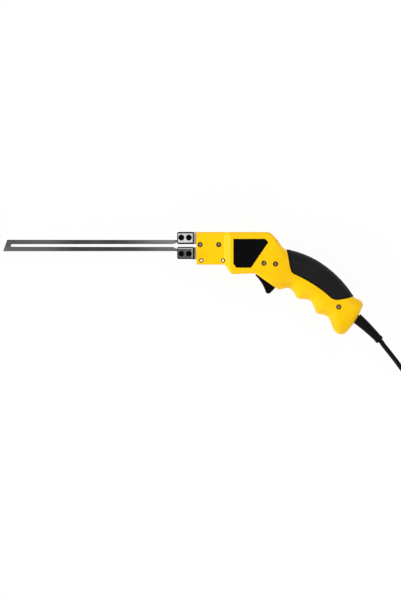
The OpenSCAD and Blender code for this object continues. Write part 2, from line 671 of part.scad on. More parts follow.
module leg_sleeve(x0, x1, y_in, z_in, ty, tz) difference() {
    translate([x0, core_mid_y - y_in - ty, -z_in - tz]) cube([x1 - x0, 2 * (y_in + ty), 2 * (z_in + tz)]);
    translate([x0 - over, core_mid_y - y_in, -z_in]) cube([x1 - x0 + 2 * over, 2 * y_in, 2 * z_in]);
}
module coil_former() color("white") {
    leg_sleeve(former_x[0], former_x[1], former_y, former_z, former_t, former_t);
    for (x = [former_x[0], former_x[1] - former_t])
        leg_sleeve(x, x + former_t, former_y, former_z, former_t + winding_y, former_t + winding_z);
}
module primary_winding() color("chocolate")
    leg_sleeve(former_x[0] + former_t + run_gap, former_x[1] - former_t - run_gap,
        former_y + former_t + run_gap, former_z + former_t + run_gap,
        winding_y - free_gap, winding_z - free_gap);

// Trigger and switch
trigger_outline = concat(
    [for (t = [0 : 0.125 : 1]) bend(trigger_front, t)],
    [for (a = [195 : 15 : 330]) trigger_tip + trigger_tip_r * [cos(a), sin(a)]],
    trigger_back,
    [[face_end_x, spring_seat_y - arm_t], [face_end_x, pivot[1]], pivot], trigger_root);
trigger_arm = [[face_end_x - over, spring_seat_y - arm_t], [arm_end_x, spring_seat_y - arm_t],
    [arm_end_x, spring_seat_y], [arm_step_x, spring_seat_y], [arm_step_x, pivot[1]],
    [face_end_x - over, pivot[1]]];
module trigger() color("black") difference() {
    union() {
        prism(trigger_outline, -trigger_w / 2, trigger_w / 2);
        prism(trigger_arm, -arm_half, arm_half);
        at_flat(pivot, -trigger_w / 2) cylinder(r = hub_r, h = trigger_w);
    }
    at_flat(pivot, -trigger_w) cylinder(r = pin_d / 2 + run_gap, h = 2 * trigger_w);
}
module trigger_pin() color("silver") at_flat(pivot, -pin_half) cylinder(d = pin_d, h = 2 * pin_half);
spring_len = switch_low[1] - spring_seat_y - 2 * seat_gap - spring_wire;
function spring_point(t) = let (a = 360 * spring_turns * t, r = (spring_d - spring_wire) / 2)
    [spring_x + r * cos(a), spring_seat_y + seat_gap + spring_wire / 2 + spring_len * t, r * sin(a)];
spring_route = [for (i = [0 : 8 * spring_turns]) spring_point(i / (8 * spring_turns))];
module trigger_spring() color("silver") tube(spring_route, even(spring_wire / 2, spring_route), 6);
module switch_body() color("darkgray") difference() {
    translate([switch_low[0], switch_low[1], -switch_half])
        cube([switch_size[0], switch_size[1], 2 * switch_half]);
    translate([plunger_x, switch_low[1] - over, 0]) rotate([-90, 0, 0])
        cylinder(r = plunger_r + run_gap, h = plunger_top - switch_low[1] + over + plunger_travel);
}
module switch_plunger() color("red") translate([plunger_x, pivot[1] + seat_gap + plunger_r, 0]) {
    sphere(r = plunger_r);
    rotate([-90, 0, 0]) cylinder(r = plunger_r, h = plunger_top - pivot[1] - seat_gap - plunger_r);
}

// Cord end inside the butt
butt_wall = 6.6;
module inner_cord() color("dimgray") along_boot(inner_cord_end) rotate([0, 90, 0])
    cylinder(d = cord_d, h = inner_cord_end - butt_wall - flange_t - seat_gap);
module cable_clamp() color("ivory") along_boot(cord_grip_at) difference() {
    translate([-clamp_bar[0] / 2, cord_d / 2 + run_gap, -clamp_bar[2] / 2]) cube(clamp_bar);
    for (z = [-1, 1]) translate([0, 0, z * cable_screw_z]) rotate([-90, 0, 0])
        cylinder(r = cable_screw_d / 2 + seat_gap, h = 20);
}
module cable_clamp_screws() color("silver") along_boot(cord_grip_at) for (z = [-1, 1])
    translate([0, cord_d / 2 + run_gap, z * cable_screw_z]) rotate([-90, 0, 0]) {
        cylinder(d = cable_screw_d, h = clamp_bar[1] + joined);
        translate([0, 0, clamp_bar[1]]) cylinder(d = cable_head_d, h = cable_head_t);
    }
module lead(route, shade) color(shade) tube(route, even(lead_d / 2, route), 8);
module live_lead() lead(live_route, "sienna");
module neutral_lead() lead(neutral_route, "royalblue");
module switch_lead() lead(switch_route, "black");

// Strain relief and free cord
boot_steps = 10;
boot_lift = 0.025;
boot_edge = 0.005;
function boot_radius(t) = t > collar_share ? collar_d / 2 : mix(boot_d, boot_end_d, t / collar_share) / 2;
function boot_inside(back) = boot_route[0] - [boot_dir[0], boot_dir[1], 0] * back;
boot_shares = concat([for (i = [0 : boot_steps]) mix(boot_lift, collar_share, i / boot_steps)],
    [collar_share + 2 * boot_edge, 1 - 2 * boot_edge, 1]);
boot_points = concat([boot_inside(butt_wall + flange_t), boot_inside(butt_wall + 2 * seat_gap),
    boot_inside(butt_wall + seat_gap), bend(boot_route, boot_lift - boot_edge)],
    [for (t = boot_shares) bend(boot_route, t)]);
boot_radii = concat([flange_d / 2, flange_d / 2, neck_d / 2, neck_d / 2],
    [for (t = boot_shares) boot_radius(t)]);
module strain_relief() color("black") tube(boot_points, boot_radii, 16);

coil_half = 360 * coil_turns;
function coil_r(f) = coil_inner_r + coil_pitch * abs(f - coil_half) / 360;
function coil_z(f) = coil_low + coil_pitch * smooth((f - coil_half + 90) / 180);
function coil_point(f) = [coil_centre[0] + coil_r(f) * cos(coil_start + f),
    coil_centre[1] + coil_r(f) * sin(coil_start + f), coil_z(f)];
coil_rings = round(24 * 2 * coil_turns);
coil_line = [for (i = [0 : coil_rings]) coil_point(2 * coil_half * i / coil_rings)];
coil_in = unit(coil_line[1] - coil_line[0]);
coil_out = unit(coil_line[coil_rings] - coil_line[coil_rings - 1]);
coil_route = concat([coil_line[0] - coil_in * cord_d], coil_line, [coil_line[coil_rings] + coil_out * cord_d]);
coil_gap = min([for (i = [0 : coil_rings]) for (j = [i + 13 : 1 : coil_rings])
    norm(coil_line[i] - coil_line[j])]) - cord_d;
echo(least_gap_of_cord_coil = coil_gap);
module cord_coil() color("dimgray") tube(coil_route, even(cord_d / 2, coil_route), 6);

boot_end = boot_route[2];
boot_way = unit(boot_route[2] - boot_route[1]);
coil_first = coil_route[0];
run_points = concat([boot_end, boot_end + boot_way * cord_d / 2], run_route,
    [coil_first - coil_in * cord_d, coil_first]);
module cord_run() color("dimgray") tube(run_points, even(cord_d / 2, run_points), 10);

coil_end = coil_route[len(coil_route) - 1];
plug_z = table_z + plug_t / 2;
plug_start = [coil_end[0] + 1, coil_end[1] + plug_gap_y, plug_z];
tail_points = [coil_end, coil_end + coil_out * cord_d, mix(coil_end, plug_start, 0.5) + [0, 0, tail_lift],
    plug_start - [0, cord_d, 0], plug_start];
module cord_tail() color("dimgray") tube(tail_points, even(cord_d / 2, tail_points), 10);
module cord_tie() color("black") {
    near = sqrt(pow(coil_inner_r - cord_d / 2, 2) - pow(tie_w / 2, 2)) - 2 * seat_gap;
    far = coil_r(360 + tie_angle - coil_start) + cord_d / 2 + 4 * seat_gap;
    high = coil_low + coil_pitch + cord_d / 2 + 2 * seat_gap;
    at_flat(coil_centre) rotate([0, 0, tie_angle]) rotate([90, 0, 0]) translate([0, 0, -tie_w / 2])
        linear_extrude(tie_w) difference() {
            translate([near - tie_t, table_z]) square([far - near + 2 * tie_t, high - table_z + tie_t]);
            translate([near, table_z + tie_t]) square([far - near, high - table_z - tie_t]);
        }
}
plug_sleeve = 14;
module plug_body() color("black") translate(plug_start) {
    rotate([-90, 0, 0]) cylinder(d1 = sleeve_d, d2 = plug_t - 2, h = plug_sleeve);
    translate([0, plug_sleeve, -plug_t / 2]) linear_extrude(plug_t)
        for (side = [0, 1]) mirror([side, 0]) polygon([[-joined, 0], [plug_t / 2, 0],
            [plug_w / 2, plug_shoulder], [plug_w / 2, plug_len - plug_corner],
            [plug_w / 2 - plug_corner, plug_len], [-joined, plug_len]]);
}
module plug_pins() color("silver") for (side = [-1, 1])
    translate(plug_start + [side * plug_pin_pitch / 2, plug_sleeve + plug_len, 0]) rotate([-90, 0, 0]) {
        cylinder(d = plug_pin_d, h = plug_pin_len - plug_pin_d / 2);
        translate([0, 0, plug_pin_len - plug_pin_d / 2]) sphere(d = plug_pin_d);
    }

seat() left_shell();
seat() right_shell();
seat() grip_pad();
seat() left_side_plate();
seat() right_side_plate();
seat() casing_screws();
seat() blade();
seat() upper_clamp();
seat() lower_clamp();
seat() upper_front_screw();
seat() upper_rear_screw();
seat() lower_front_screw();
seat() lower_rear_screw();
seat() upper_gasket();
seat() lower_gasket();
seat() upper_plate();
seat() lower_plate();
seat() upper_busbar();
seat() lower_busbar();
seat() secondary_loop();
seat() nose_insulator();
seat() transformer_core();
seat() coil_former();
seat() primary_winding();
seat() trigger();
seat() trigger_pin();
seat() trigger_spring();
seat() switch_body();
seat() switch_plunger();
seat() inner_cord();
seat() cable_clamp();
seat() cable_clamp_screws();
seat() live_lead();
seat() neutral_lead();
seat() switch_lead();
seat() strain_relief();
seat() cord_run();
seat() cord_coil();
seat() cord_tail();
seat() cord_tie();
seat() plug_body();
seat() plug_pins();
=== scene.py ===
"""Looks of the electric hot knife: finishes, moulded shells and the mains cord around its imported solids."""

import logging
import math
from dataclasses import dataclass
from enum import Enum
from functools import cached_property, reduce
from typing import Any, Iterable, Iterator, NamedTuple, Sequence

import bpy
import numpy as np
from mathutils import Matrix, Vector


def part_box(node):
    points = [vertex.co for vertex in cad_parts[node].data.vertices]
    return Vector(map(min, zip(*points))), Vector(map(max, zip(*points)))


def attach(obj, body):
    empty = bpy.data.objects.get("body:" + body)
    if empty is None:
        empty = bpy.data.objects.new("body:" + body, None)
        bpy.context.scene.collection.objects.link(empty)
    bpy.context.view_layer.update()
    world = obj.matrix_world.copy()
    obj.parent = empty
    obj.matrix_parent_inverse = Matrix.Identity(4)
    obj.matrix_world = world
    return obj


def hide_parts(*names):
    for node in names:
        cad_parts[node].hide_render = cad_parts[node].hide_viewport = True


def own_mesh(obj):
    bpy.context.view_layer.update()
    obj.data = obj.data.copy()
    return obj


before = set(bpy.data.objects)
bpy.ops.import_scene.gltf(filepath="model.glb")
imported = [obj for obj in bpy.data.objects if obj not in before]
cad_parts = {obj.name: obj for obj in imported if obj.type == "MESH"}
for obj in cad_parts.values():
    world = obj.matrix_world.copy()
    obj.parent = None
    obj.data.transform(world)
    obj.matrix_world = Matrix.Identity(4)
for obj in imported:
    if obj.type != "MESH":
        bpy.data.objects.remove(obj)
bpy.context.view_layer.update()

import openvdb
from mathutils import Vector

LOG = logging.getLogger("hot_knife")
MM = 0.001
Array = np.ndarray
Triple = tuple[float, float, float]
Colour = Triple
Point = tuple[float, float]
Span = tuple[float, float]
Ramp = tuple[float, float]
Piece = bpy.types.Object
Socket = bpy.types.NodeSocket
Material = bpy.types.Material


class Body(Enum):
    """Moving groups of the tool that new pieces ride on."""

    HANDSET = "handset"
    TRIGGER = "trigger"
    BLADE = "blade"


class Slot(Enum):
    """Material slots of the record, passed along with each new piece."""

    YELLOW = "casing_yellow"
    RUBBER = "grip_rubber"
    BLACK = "black_plastic"
    BLADE = "blade_steel"
    BRIGHT = "bright_steel"
    PLATED = "plated_steel"
    BLACK_STEEL = "black_steel"
    CORD = "cord_rubber"
    INSULATION = "insulation"


class Axis(Enum):
    """Direction in which a finish was drawn or ground, as the pattern's pace along each axis."""

    X = (0.02, 1.0, 1.0)
    Y = (1.0, 0.02, 1.0)
    NONE = (1.0, 1.0, 1.0)


class Half(Enum):
    """The two halves of the casing, with the side of the parting plane that each lies on."""

    LEFT = 1
    RIGHT = -1


def mix(a: Any, b: Any, t: Any) -> Any:
    """Straight blend from a to b."""
    return a + (b - a) * t


def smooth(t: Any) -> Any:
    """Soft step from 0 to 1, level at both ends."""
    c = np.clip(t, 0.0, 1.0)
    return c * c * (3 - 2 * c)


def ramp(value: Any, start: float, run: float) -> Any:
    """Soft step from 0 at the start to 1 at the end of the run, which may go either way."""
    return smooth((value - start) / run)


def band(value: Array, span: Sequence[float]) -> Array:
    """Distances to a layer between two places."""
    return np.maximum(span[0] - value, value - span[1])


def unit(vector: Array) -> Array:
    """The same direction with a length of one."""
    return vector / np.linalg.norm(vector)


def bezier(points: Sequence[Sequence[float]], t: float) -> Array:
    """Point on a quadratic curve from its first to its last control point."""
    a, b, c = (np.asarray(p, float) for p in points)
    return (1 - t) ** 2 * a + 2 * t * (1 - t) * b + t * t * c


def curve(points: Sequence[Sequence[float]], count: int) -> list[Array]:
    """So many points along a quadratic curve."""
    return [bezier(points, t) for t in np.linspace(0, 1, count)]


def arc(centre: Sequence[float], radius: float, start: float, end: float, count: int) -> list[Point]:
    """So many points on an arc between two angles in degrees."""
    turns = np.radians(np.linspace(start, end, count))
    return [(centre[0] + radius * math.cos(a), centre[1] + radius * math.sin(a)) for a in turns]


def smooth_line(points: Sequence[Sequence[float]], steps: int) -> Array:
    """Smooth curve through given points.

    Args:
        points: The points to pass through.
        steps: Steps between neighbours.

    Returns:
        The points of the curve.
    """
    p = np.asarray(points, float)
    p = np.vstack([2 * p[0] - p[1], p, 2 * p[-1] - p[-2]])
    line = []
    for i in range(1, len(p) - 2):
        a, b, c, d = p[i - 1 : i + 3]
        for t in np.linspace(0, 1, steps, endpoint=False):
            line.append(0.5 * (2 * b + (c - a) * t + (2 * a - 5 * b + 4 * c - d) * t**2
                               + (3 * b - a - 3 * c + d) * t**3))
    return np.vstack([line, p[-2]])


def soft_max(a: Array, b: Array, round_mm: float) -> Array:
    """Intersection of two distance fields, with an edge rounded by that size."""
    return np.maximum(a, b) + np.maximum(round_mm - np.abs(a - b), 0) ** 2 / (4 * round_mm)


def soft_min(a: Array, b: Array, round_mm: float) -> Array:
    """Union of two distance fields, with a corner filled by that size."""
    return -soft_max(-a, -b, round_mm)


@dataclass(frozen=True)
class Place:
    """Turns the tool's own millimetres into metres of the shared frame.

    The tool's own origin lies on the front face of the casing, on the axis of the blade and on the
    parting plane of the two shells.
    """

    origin: Triple

    @classmethod
    def from_frame(cls) -> "Place":
        """Finds the tool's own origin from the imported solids.

        Returns:
            The place of the tool in the frame.
        """
        shell_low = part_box("left_shell")[0]
        blade_low, blade_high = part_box("blade")
        middle = (blade_low.y + blade_high.y) / 2
        return cls((shell_low.x / MM, middle / MM, shell_low.z / MM))

    def tool_box(self, node: str) -> list[Array]:
        """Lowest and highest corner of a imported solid, in millimetres of the tool."""
        return [np.asarray(corner) / MM - np.asarray(self.origin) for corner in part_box(node)]

    def row(self, points: Any) -> Array:
        """Points in millimetres of the tool, as metres of the frame."""
        return (np.asarray(points, float) + np.asarray(self.origin)) * MM


PLACE = Place.from_frame()


class Value:
    """A shader socket that takes part in sums and products."""

    STEP = ("Value", "From Min", "From Max")

    def __init__(self, shader: "Nodes", socket: Socket) -> None:
        """Wraps one output socket of a node tree."""
        self.shader = shader
        self.socket = socket

    def math(self, operation: str, *terms: Any) -> "Value":
        """Result of one Math node on numbers or values, in the order of its sockets."""
        node = self.shader.add("ShaderNodeMath", {"operation": operation}, dict(enumerate(terms)))
        return Value(self.shader, node.outputs[0])

    def __add__(self, other: Any) -> "Value":
        """Sum."""
        return self.math("ADD", self, other)

    __radd__ = __add__

    def __sub__(self, other: Any) -> "Value":
        """Difference."""
        return self.math("SUBTRACT", self, other)

    def __rsub__(self, other: Any) -> "Value":
        """Difference from a number."""
        return self.math("SUBTRACT", other, self)

    def __mul__(self, other: Any) -> "Value":
        """Product."""
        return self.math("MULTIPLY", self, other)

    __rmul__ = __mul__

    def __truediv__(self, other: Any) -> "Value":
        """Quotient."""
        return self.math("DIVIDE", self, other)

    def swing(self, spread: float) -> "Value":
        """Swing about zero of a value that runs about one half."""
        return (self - 0.5) * spread

    def step(self, low: float, high: float) -> "Value":
        """Soft step from 0 at low to 1 at high."""
        settings, sockets = {"interpolation_type": "SMOOTHSTEP"}, dict(zip(self.STEP, (self, low, high)))
        return Value(self.shader, self.shader.add("ShaderNodeMapRange", settings, sockets).outputs["Result"])

    def past(self, place: float, soft: float) -> "Value":
        """Step from 0 to 1 at one place, as soft as that to both sides."""
        return self.step(place - soft, place + soft)


class Nodes:
    """Node tree of a material or a world, emptied to be built up."""

    def __init__(self, owner: Material | bpy.types.World) -> None:
        """Takes over the nodes of a material or a world.

        Args:
            owner: The material or the world.
        """
        owner.use_nodes = True
        self.tree = owner.node_tree
        self.tree.nodes.clear()

    def feed(self, node: bpy.types.Node, socket: Any, given: Any) -> None:
        """Sets or links one input of a node.

        Args:
            node: The node.
            socket: Name or number of its input.
            given: A number, a colour, a vector, a value or a socket.
        """
        source = given.socket if isinstance(given, Value) else given
        if isinstance(source, Socket):
            self.tree.links.new(source, node.inputs[socket])
        else:
            node.inputs[socket].default_value = source

    def add(
        self, kind: str, settings: dict[str, Any] | None = None, sockets: dict[Any, Any] | None = None
    ) -> bpy.types.Node:
        """Adds a node of any type.

        Args:
            kind: Type of the node.
            settings: Properties of the node, set before its sockets.
            sockets: What its inputs are fed with.

        Returns:
            The new node.
        """
        node = self.tree.nodes.new(kind)
        for key, setting in (settings or {}).items():
            setattr(node, key, setting)
        for key, given in (sockets or {}).items():
            self.feed(node, key, given)
        return node

    def ray(self, *kinds: str) -> Value:
        """Share of 1 for rays of any of some kinds.

        Args:
            kinds: Names of the kinds.

        Returns:
            1 for such a ray and 0 for another.
        """
        path = self.add("ShaderNodeLightPath")
        first, *others = (Value(self, path.outputs[f"Is {kind} Ray"]) for kind in kinds)
        total = sum(others, first)
        return total.math("MINIMUM", total, 1.0)


class Shader(Nodes):
    """A node material with one surface shader, built up by its finish."""

    EDGE_TURN = (0.005, 0.12)
    EDGE_SAMPLES = 4
    HOLLOW_SAMPLES = 6
    SQUARE = (0.8, 0.97)

    def __init__(self, name: str) -> None:
        """Makes a node material.

        Args:
            name: Name of the material.
        """
        self.material = bpy.data.materials.new(name)
        super().__init__(self.material)
        self.surface = self.add("ShaderNodeBsdfPrincipled")
        self.output = self.add("ShaderNodeOutputMaterial", None, {"Surface": self.surface.outputs[0]})

    def put(self, socket: str, given: Any) -> None:
        """Sets or links one input of the surface shader."""
        self.feed(self.surface, socket, given)

    def vector(self, operation: str, *terms: Any) -> bpy.types.Node:
        """A Vector Math node on vectors or sockets, in the order of its sockets."""
        return self.add("ShaderNodeVectorMath", {"operation": operation}, dict(enumerate(terms)))

    def millimetres(self, stretch: Sequence[float] = (1, 1, 1)) -> Socket:
        """Place on the object in millimetres, with each axis multiplied by its stretch."""
        coordinates = self.add("ShaderNodeTexCoord")
        return self.vector("MULTIPLY", coordinates.outputs["Object"], [s / MM for s in stretch]).outputs[0]

    def part(self, vector: Socket, axis: int) -> Value:
        """One coordinate of a vector."""
        return Value(self, self.add("ShaderNodeSeparateXYZ", None, {0: vector}).outputs[axis])

    def along(self, axis: int) -> Value:
        """One coordinate of the place on the object, in millimetres."""
        return self.part(self.millimetres(), axis)

    def noise(self, size_mm: float, stretch: Sequence[float] = (1, 1, 1), detail: float = 3.0) -> Value:
        """Cloudy variation about a middle of one half.

        Args:
            size_mm: Size of the patches.
            stretch: How fast the pattern runs along each axis.
            detail: Number of finer layers.

        Returns:
            A value that runs from about 0 to about 1.
        """
        sockets = {"Vector": self.millimetres(stretch), "Scale": 1 / size_mm, "Detail": detail}
        node = self.add("ShaderNodeTexNoise", {"noise_dimensions": "3D"}, sockets)
        return Value(self, node.outputs[0])

    def edges(self, reach_mm: float) -> Value:
        """Share of edges, where metal is worn and where plastic gets a painted highlight.

        Args:
            reach_mm: How far the share reaches from an edge.

        Returns:
            1 on sharp edges and 0 on flat faces.
        """
        eased = self.add("ShaderNodeBevel", {"samples": self.EDGE_SAMPLES}, {"Radius": reach_mm * MM})
        plain = self.add("ShaderNodeNewGeometry")
        dot = self.vector("DOT_PRODUCT", eased.outputs[0], plain.outputs["Normal"])
        return (1 - Value(self, dot.outputs["Value"])).step(*self.EDGE_TURN)

    def hollows(self, reach_mm: float, alone: bool = True) -> Value:
        """Share of 1 in hollows and 0 in the open, among the piece's own walls or its neighbours' as well."""
        settings, sockets = {"samples": self.HOLLOW_SAMPLES, "only_local": alone}, {"Distance": reach_mm * MM}
        return 1 - Value(self, self.add("ShaderNodeAmbientOcclusion", settings, sockets).outputs["AO"])

    def level(self, axis: int) -> Value:
        """Share of 1 where the surface lies square to one axis of the object."""
        part = self.part(self.add("ShaderNodeTexCoord").outputs["Normal"], axis)
        return part.math("ABSOLUTE", part).step(*self.SQUARE)

    def blend(self, factor: Any, first: Any, second: Any) -> Socket:
        """Colour between two colours, by the colour sockets of a Mix node."""
        node = self.add("ShaderNodeMix", {"data_type": "RGBA"}, {0: factor, 6: first, 7: second})
        return node.outputs[2]

    def bump(self, height: Value, depth_mm: float) -> None:
        """Raises the surface by that height, up to the given depth."""
        sockets = {"Strength": 1.0, "Distance": depth_mm * MM, "Height": height}
        self.put("Normal", self.add("ShaderNodeBump", None, sockets).outputs[0])


def tint(red: int, green: int, blue: int) -> Colour:
    """Linear colour of a screen colour from 0 to 255."""
    shares = [c / 255 for c in (red, green, blue)]
    return tuple(s / 12.92 if s <= 0.04045 else ((s + 0.055) / 1.055) ** 2.4 for s in shares)


def opaque(colour: Colour, light: float = 1.0) -> tuple[float, ...]:
    """A colour for a shader socket, made lighter or darker by a factor."""
    return (*(min(c * light, 1.0) for c in colour), 1.0)


@dataclass(frozen=True)
class Finish:
    """Plain surface with soft patches, a grain and its roughness."""

    name: str
    colour: Colour
    roughness: float = 0.45
    metallic: float = 0.0
    specular: float = 0.4
    grain_mm: float = 0.5
    relief_mm: float = 0.02
    grain_layers: float = 3.0
    grain_weight: float = 0.3
    grain_rough: float = 0.16
    patch_mm: float = 30.0
    patch_layers: float = 3.0
    patch_share: float = 0.08
    patch_rough: float = 0.1
    shade_at: Span = (0.3, 0.7)
    drawn: Axis = Axis.NONE

    def material(self) -> Material:
        """Makes the node material of this finish.

        Returns:
            The material.
        """
        shader = Shader(self.name)
        shader.put("Metallic", self.metallic)
        shader.put("Specular IOR Level", self.specular)
        self.paint(shader)
        return shader.material

    def grain(self, shader: Shader) -> Value:
        """Fine pattern of the surface, drawn out along its axis."""
        return shader.noise(self.grain_mm, self.drawn.value, self.grain_layers)

    def patch(self, shader: Shader) -> Value:
        """Broad pattern of the surface."""
        return shader.noise(self.patch_mm, detail=self.patch_layers)

    def shades(self, shader: Shader, share: Value) -> Socket:
        """Colour from the darker to the lighter shade of the finish."""
        dark, light = (opaque(self.colour, 1 + side * self.patch_share) for side in (-1, 1))
        return shader.blend(share, dark, light)

    def mottle(self, shader: Shader, patch: Value, grain: Value) -> Socket:
        """Shades that follow the patches and the grain."""
        share = patch * (1 - self.grain_weight) + grain * self.grain_weight
        return self.shades(shader, share.step(*self.shade_at))

    def cover(self, shader: Shader, colour: Socket, rough: Value, height: Value) -> None:
        """Sets the colour, the swing of the roughness and the relief.

        Args:
            shader: The shader to set.
            colour: Its colour.
            rough: What is added to the finish's roughness.
            height: Height of the relief.
        """
        shader.put("Base Color", colour)
        shader.put("Roughness", self.roughness + rough)
        shader.bump(height, self.relief_mm)

    def paint(self, shader: Shader) -> None:
        """Adds colour, roughness and grain."""
        patch, grain = self.patch(shader), self.grain(shader)
        rough = grain.swing(self.grain_rough) + patch.swing(self.patch_rough)
        self.cover(shader, self.mottle(shader, patch, grain), rough, grain)


@dataclass(frozen=True)
class MouldedYellow(Finish):
    """Yellow moulded plastic: satin, a shade deeper in its patches, with painted shade toward the butt and in
    its hollows, and a painted highlight on its edges.
    """

    grain_layers: float = 2.0
    grain_rough: float = 0.2
    patch_mm: float = 26.0
    patch_layers: float = 2.0
    patch_at: Span = (0.42, 0.72)
    deep: Colour = (0.9, 0.47, 0.0)
    deep_share: float = 0.35
    # Painted shade: the yellow deepens toward the butt along x.
    painted_shade_rear_mm: Span = (70.0, 200.0)
    painted_shade_rear_share: float = 0.8
    speckle_mm: float = 2.2
    speckle_at: Span = (0.55, 0.8)
    speckle_share: float = 0.08
    speckle_light: float = 0.92
    # Painted highlight: paler yellow and lower roughness along the edges.
    painted_edge_highlight: Colour = (1.0, 0.72, 0.08)
    painted_edge_highlight_mm: float = 0.7
    painted_edge_highlight_patch_mm: float = 6.0
    painted_edge_highlight_share: float = 0.35
    painted_edge_highlight_swing: float = 0.5
    painted_edge_highlight_gloss: float = 0.1
    # Painted shade: brown in the hollows, holes and grooves.
    painted_hollow_shade: Colour = tint(120, 58, 6)
    painted_hollow_shade_mm: float = 5.0
    painted_hollow_shade_at: Span = (0.25, 0.6)
    painted_hollow_shade_share: float = 0.95

    def paint(self, shader: Shader) -> None:
        """Adds colour, speckles, painted shade toward the butt, a painted highlight on the edges, painted
        shade in the hollows and the fine texture of the mould.

        Args:
            shader: The shader to set.
        """
        # Painted shade toward the butt, added to the random patches of deeper yellow.
        rear = shader.along(0).step(*self.painted_shade_rear_mm) * self.painted_shade_rear_share
        patch = self.patch(shader).step(*self.patch_at) + rear
        grain = self.grain(shader)
        speckle = shader.noise(self.speckle_mm, detail=self.patch_layers).step(*self.speckle_at)
        body = shader.blend(patch * self.deep_share, opaque(self.colour), opaque(self.deep))
        body = shader.blend(speckle * self.speckle_share, body, opaque(self.deep, self.speckle_light))
        # Painted highlight on the edges, uneven along them.
        worn = shader.edges(self.painted_edge_highlight_mm) * (self.painted_edge_highlight_share + self.painted_edge_highlight_swing * shader.noise(self.painted_edge_highlight_patch_mm))
        body = shader.blend(worn, body, opaque(self.painted_edge_highlight))
        # Painted shade in the hollows.
        painted_hollow_shade = shader.hollows(self.painted_hollow_shade_mm).step(*self.painted_hollow_shade_at) * self.painted_hollow_shade_share
        body = shader.blend(painted_hollow_shade, body, opaque(self.painted_hollow_shade))
        self.cover(shader, body, grain.swing(self.grain_rough) - worn * self.painted_edge_highlight_gloss, grain)


@dataclass(frozen=True)
class GripRubber(Finish):
    """Matt rubber with painted shade along its sunk border."""

    grain_layers: float = 4.0
    grain_weight: float = 0.4
    grain_rough: float = 0.2
    # Painted shade in the sunk border.
    painted_border_shade: Colour = tint(6, 6, 7)
    painted_border_shade_mm: float = 2.2
    painted_border_shade_at: Span = (0.08, 0.34)

    def paint(self, shader: Shader) -> None:
        """Adds the leathery grain and the painted shade in the sunk border.

        Args:
            shader: The shader to set.
        """
        grain = self.grain(shader)
        face = self.mottle(shader, self.patch(shader), grain)
        # Painted shade in the sunk border, found from the pad and its neighbours.
        sunk = shader.hollows(self.painted_border_shade_mm, False).step(*self.painted_border_shade_at)
        colour = shader.blend(sunk, face, opaque(self.painted_border_shade))
        self.cover(shader, colour, grain.swing(self.grain_rough), grain)


@dataclass(frozen=True)
class SteelWithPaintedReflections(Finish):
    """Ground blade steel with painted reflections: paler toward both ends and darkest in the middle of its
    length.
    """

    grain_layers: float = 4.0
    grain_weight: float = 0.27
    grain_rough: float = 0.25
    # Painted reflections: paler toward the root and the tip, darker in the middle.
    pale: Colour = tint(158, 158, 160)
    # Painted shade on the bevelled sides.
    edge: Colour = tint(26, 26, 28)
    base_share: float = 0.2
    painted_reflection_root_mm: Span = (-88.0, 2.0)
    painted_reflection_root_share: float = 0.42
    painted_reflection_tip_mm: Span = (120.0, 160.0)
    painted_reflection_tip_share: float = 0.2
    painted_reflection_middle_mm: Point = (-120.0, 42.9)
    painted_reflection_lean_mm2: float = 4500.0
    cloud_mm: float = 14.0
    cloud_stretch: Triple = (0.4, 1, 1)
    cloud_weight: float = 0.3

    def paint(self, shader: Shader) -> None:
        """Adds the painted reflections that make the blade's ends paler, the painted shade on its bevels,
        fine grinding marks and faint spots.

        Args:
            shader: The shader to set.
        """
        along = shader.along(0)
        # Painted reflections: paler toward the root and the tip, leaning across the blade.
        ends = along.step(*self.painted_reflection_root_mm) * self.painted_reflection_root_share + (0 - along).step(*self.painted_reflection_tip_mm) * self.painted_reflection_tip_share
        painted_reflection_lean = (along - self.painted_reflection_middle_mm[0]) * (shader.along(1) - self.painted_reflection_middle_mm[1]) / self.painted_reflection_lean_mm2
        ground = self.grain(shader)
        cloud = shader.noise(self.cloud_mm, self.cloud_stretch, self.grain_layers)
        share = ends + self.base_share + painted_reflection_lean + cloud.swing(self.cloud_weight)
        share = (share + ground.swing(self.grain_weight)).step(0.0, 1.0)
        face = shader.blend(share, opaque(self.colour), opaque(self.pale))
        # Painted shade on every face that is not level: the bevels.
        face = shader.blend(shader.level(2), opaque(self.edge), face)
        self.cover(shader, face, ground.swing(self.grain_rough), ground)


@dataclass(frozen=True)
class WornMetal(Finish):
    """Drawn or plated metal with brighter edges and a faint film of oxide."""

    grain_mm: float = 0.3
    relief_mm: float = 0.008
    patch_mm: float = 6.0
    grain_layers: float = 4.0
    grain_weight: float = 0.7
    grain_rough: float = 0.24
    patch_layers: float = 4.0
    film_weight: float = 0.9
    shade_at: Span = (0.1, 0.9)
    bright: Colour = tint(225, 225, 228)
    edge_mm: float = 0.35
    edge_share: float = 0.6

    def mottle(self, shader: Shader, patch: Value, grain: Value) -> Socket:
        """Shades that follow the film and the drawing marks."""
        share = patch.swing(self.film_weight) + grain.swing(self.grain_weight) + 0.5
        return self.shades(shader, share.step(*self.shade_at))

    def wear(self, shader: Shader, body: Socket) -> Socket:
        """The metal's colour with its edges rubbed bright."""
        return shader.blend(shader.edges(self.edge_mm) * self.edge_share, body, opaque(self.bright))

    def paint(self, shader: Shader) -> None:
        """Adds drawing marks, film and what the metal's use has left.

        Args:
            shader: The shader to set.
        """
        drawn, film = self.grain(shader), self.patch(shader)
        body = self.wear(shader, self.mottle(shader, film, drawn))
        self.cover(shader, body, drawn.swing(self.grain_rough) + film.swing(self.patch_rough), drawn)


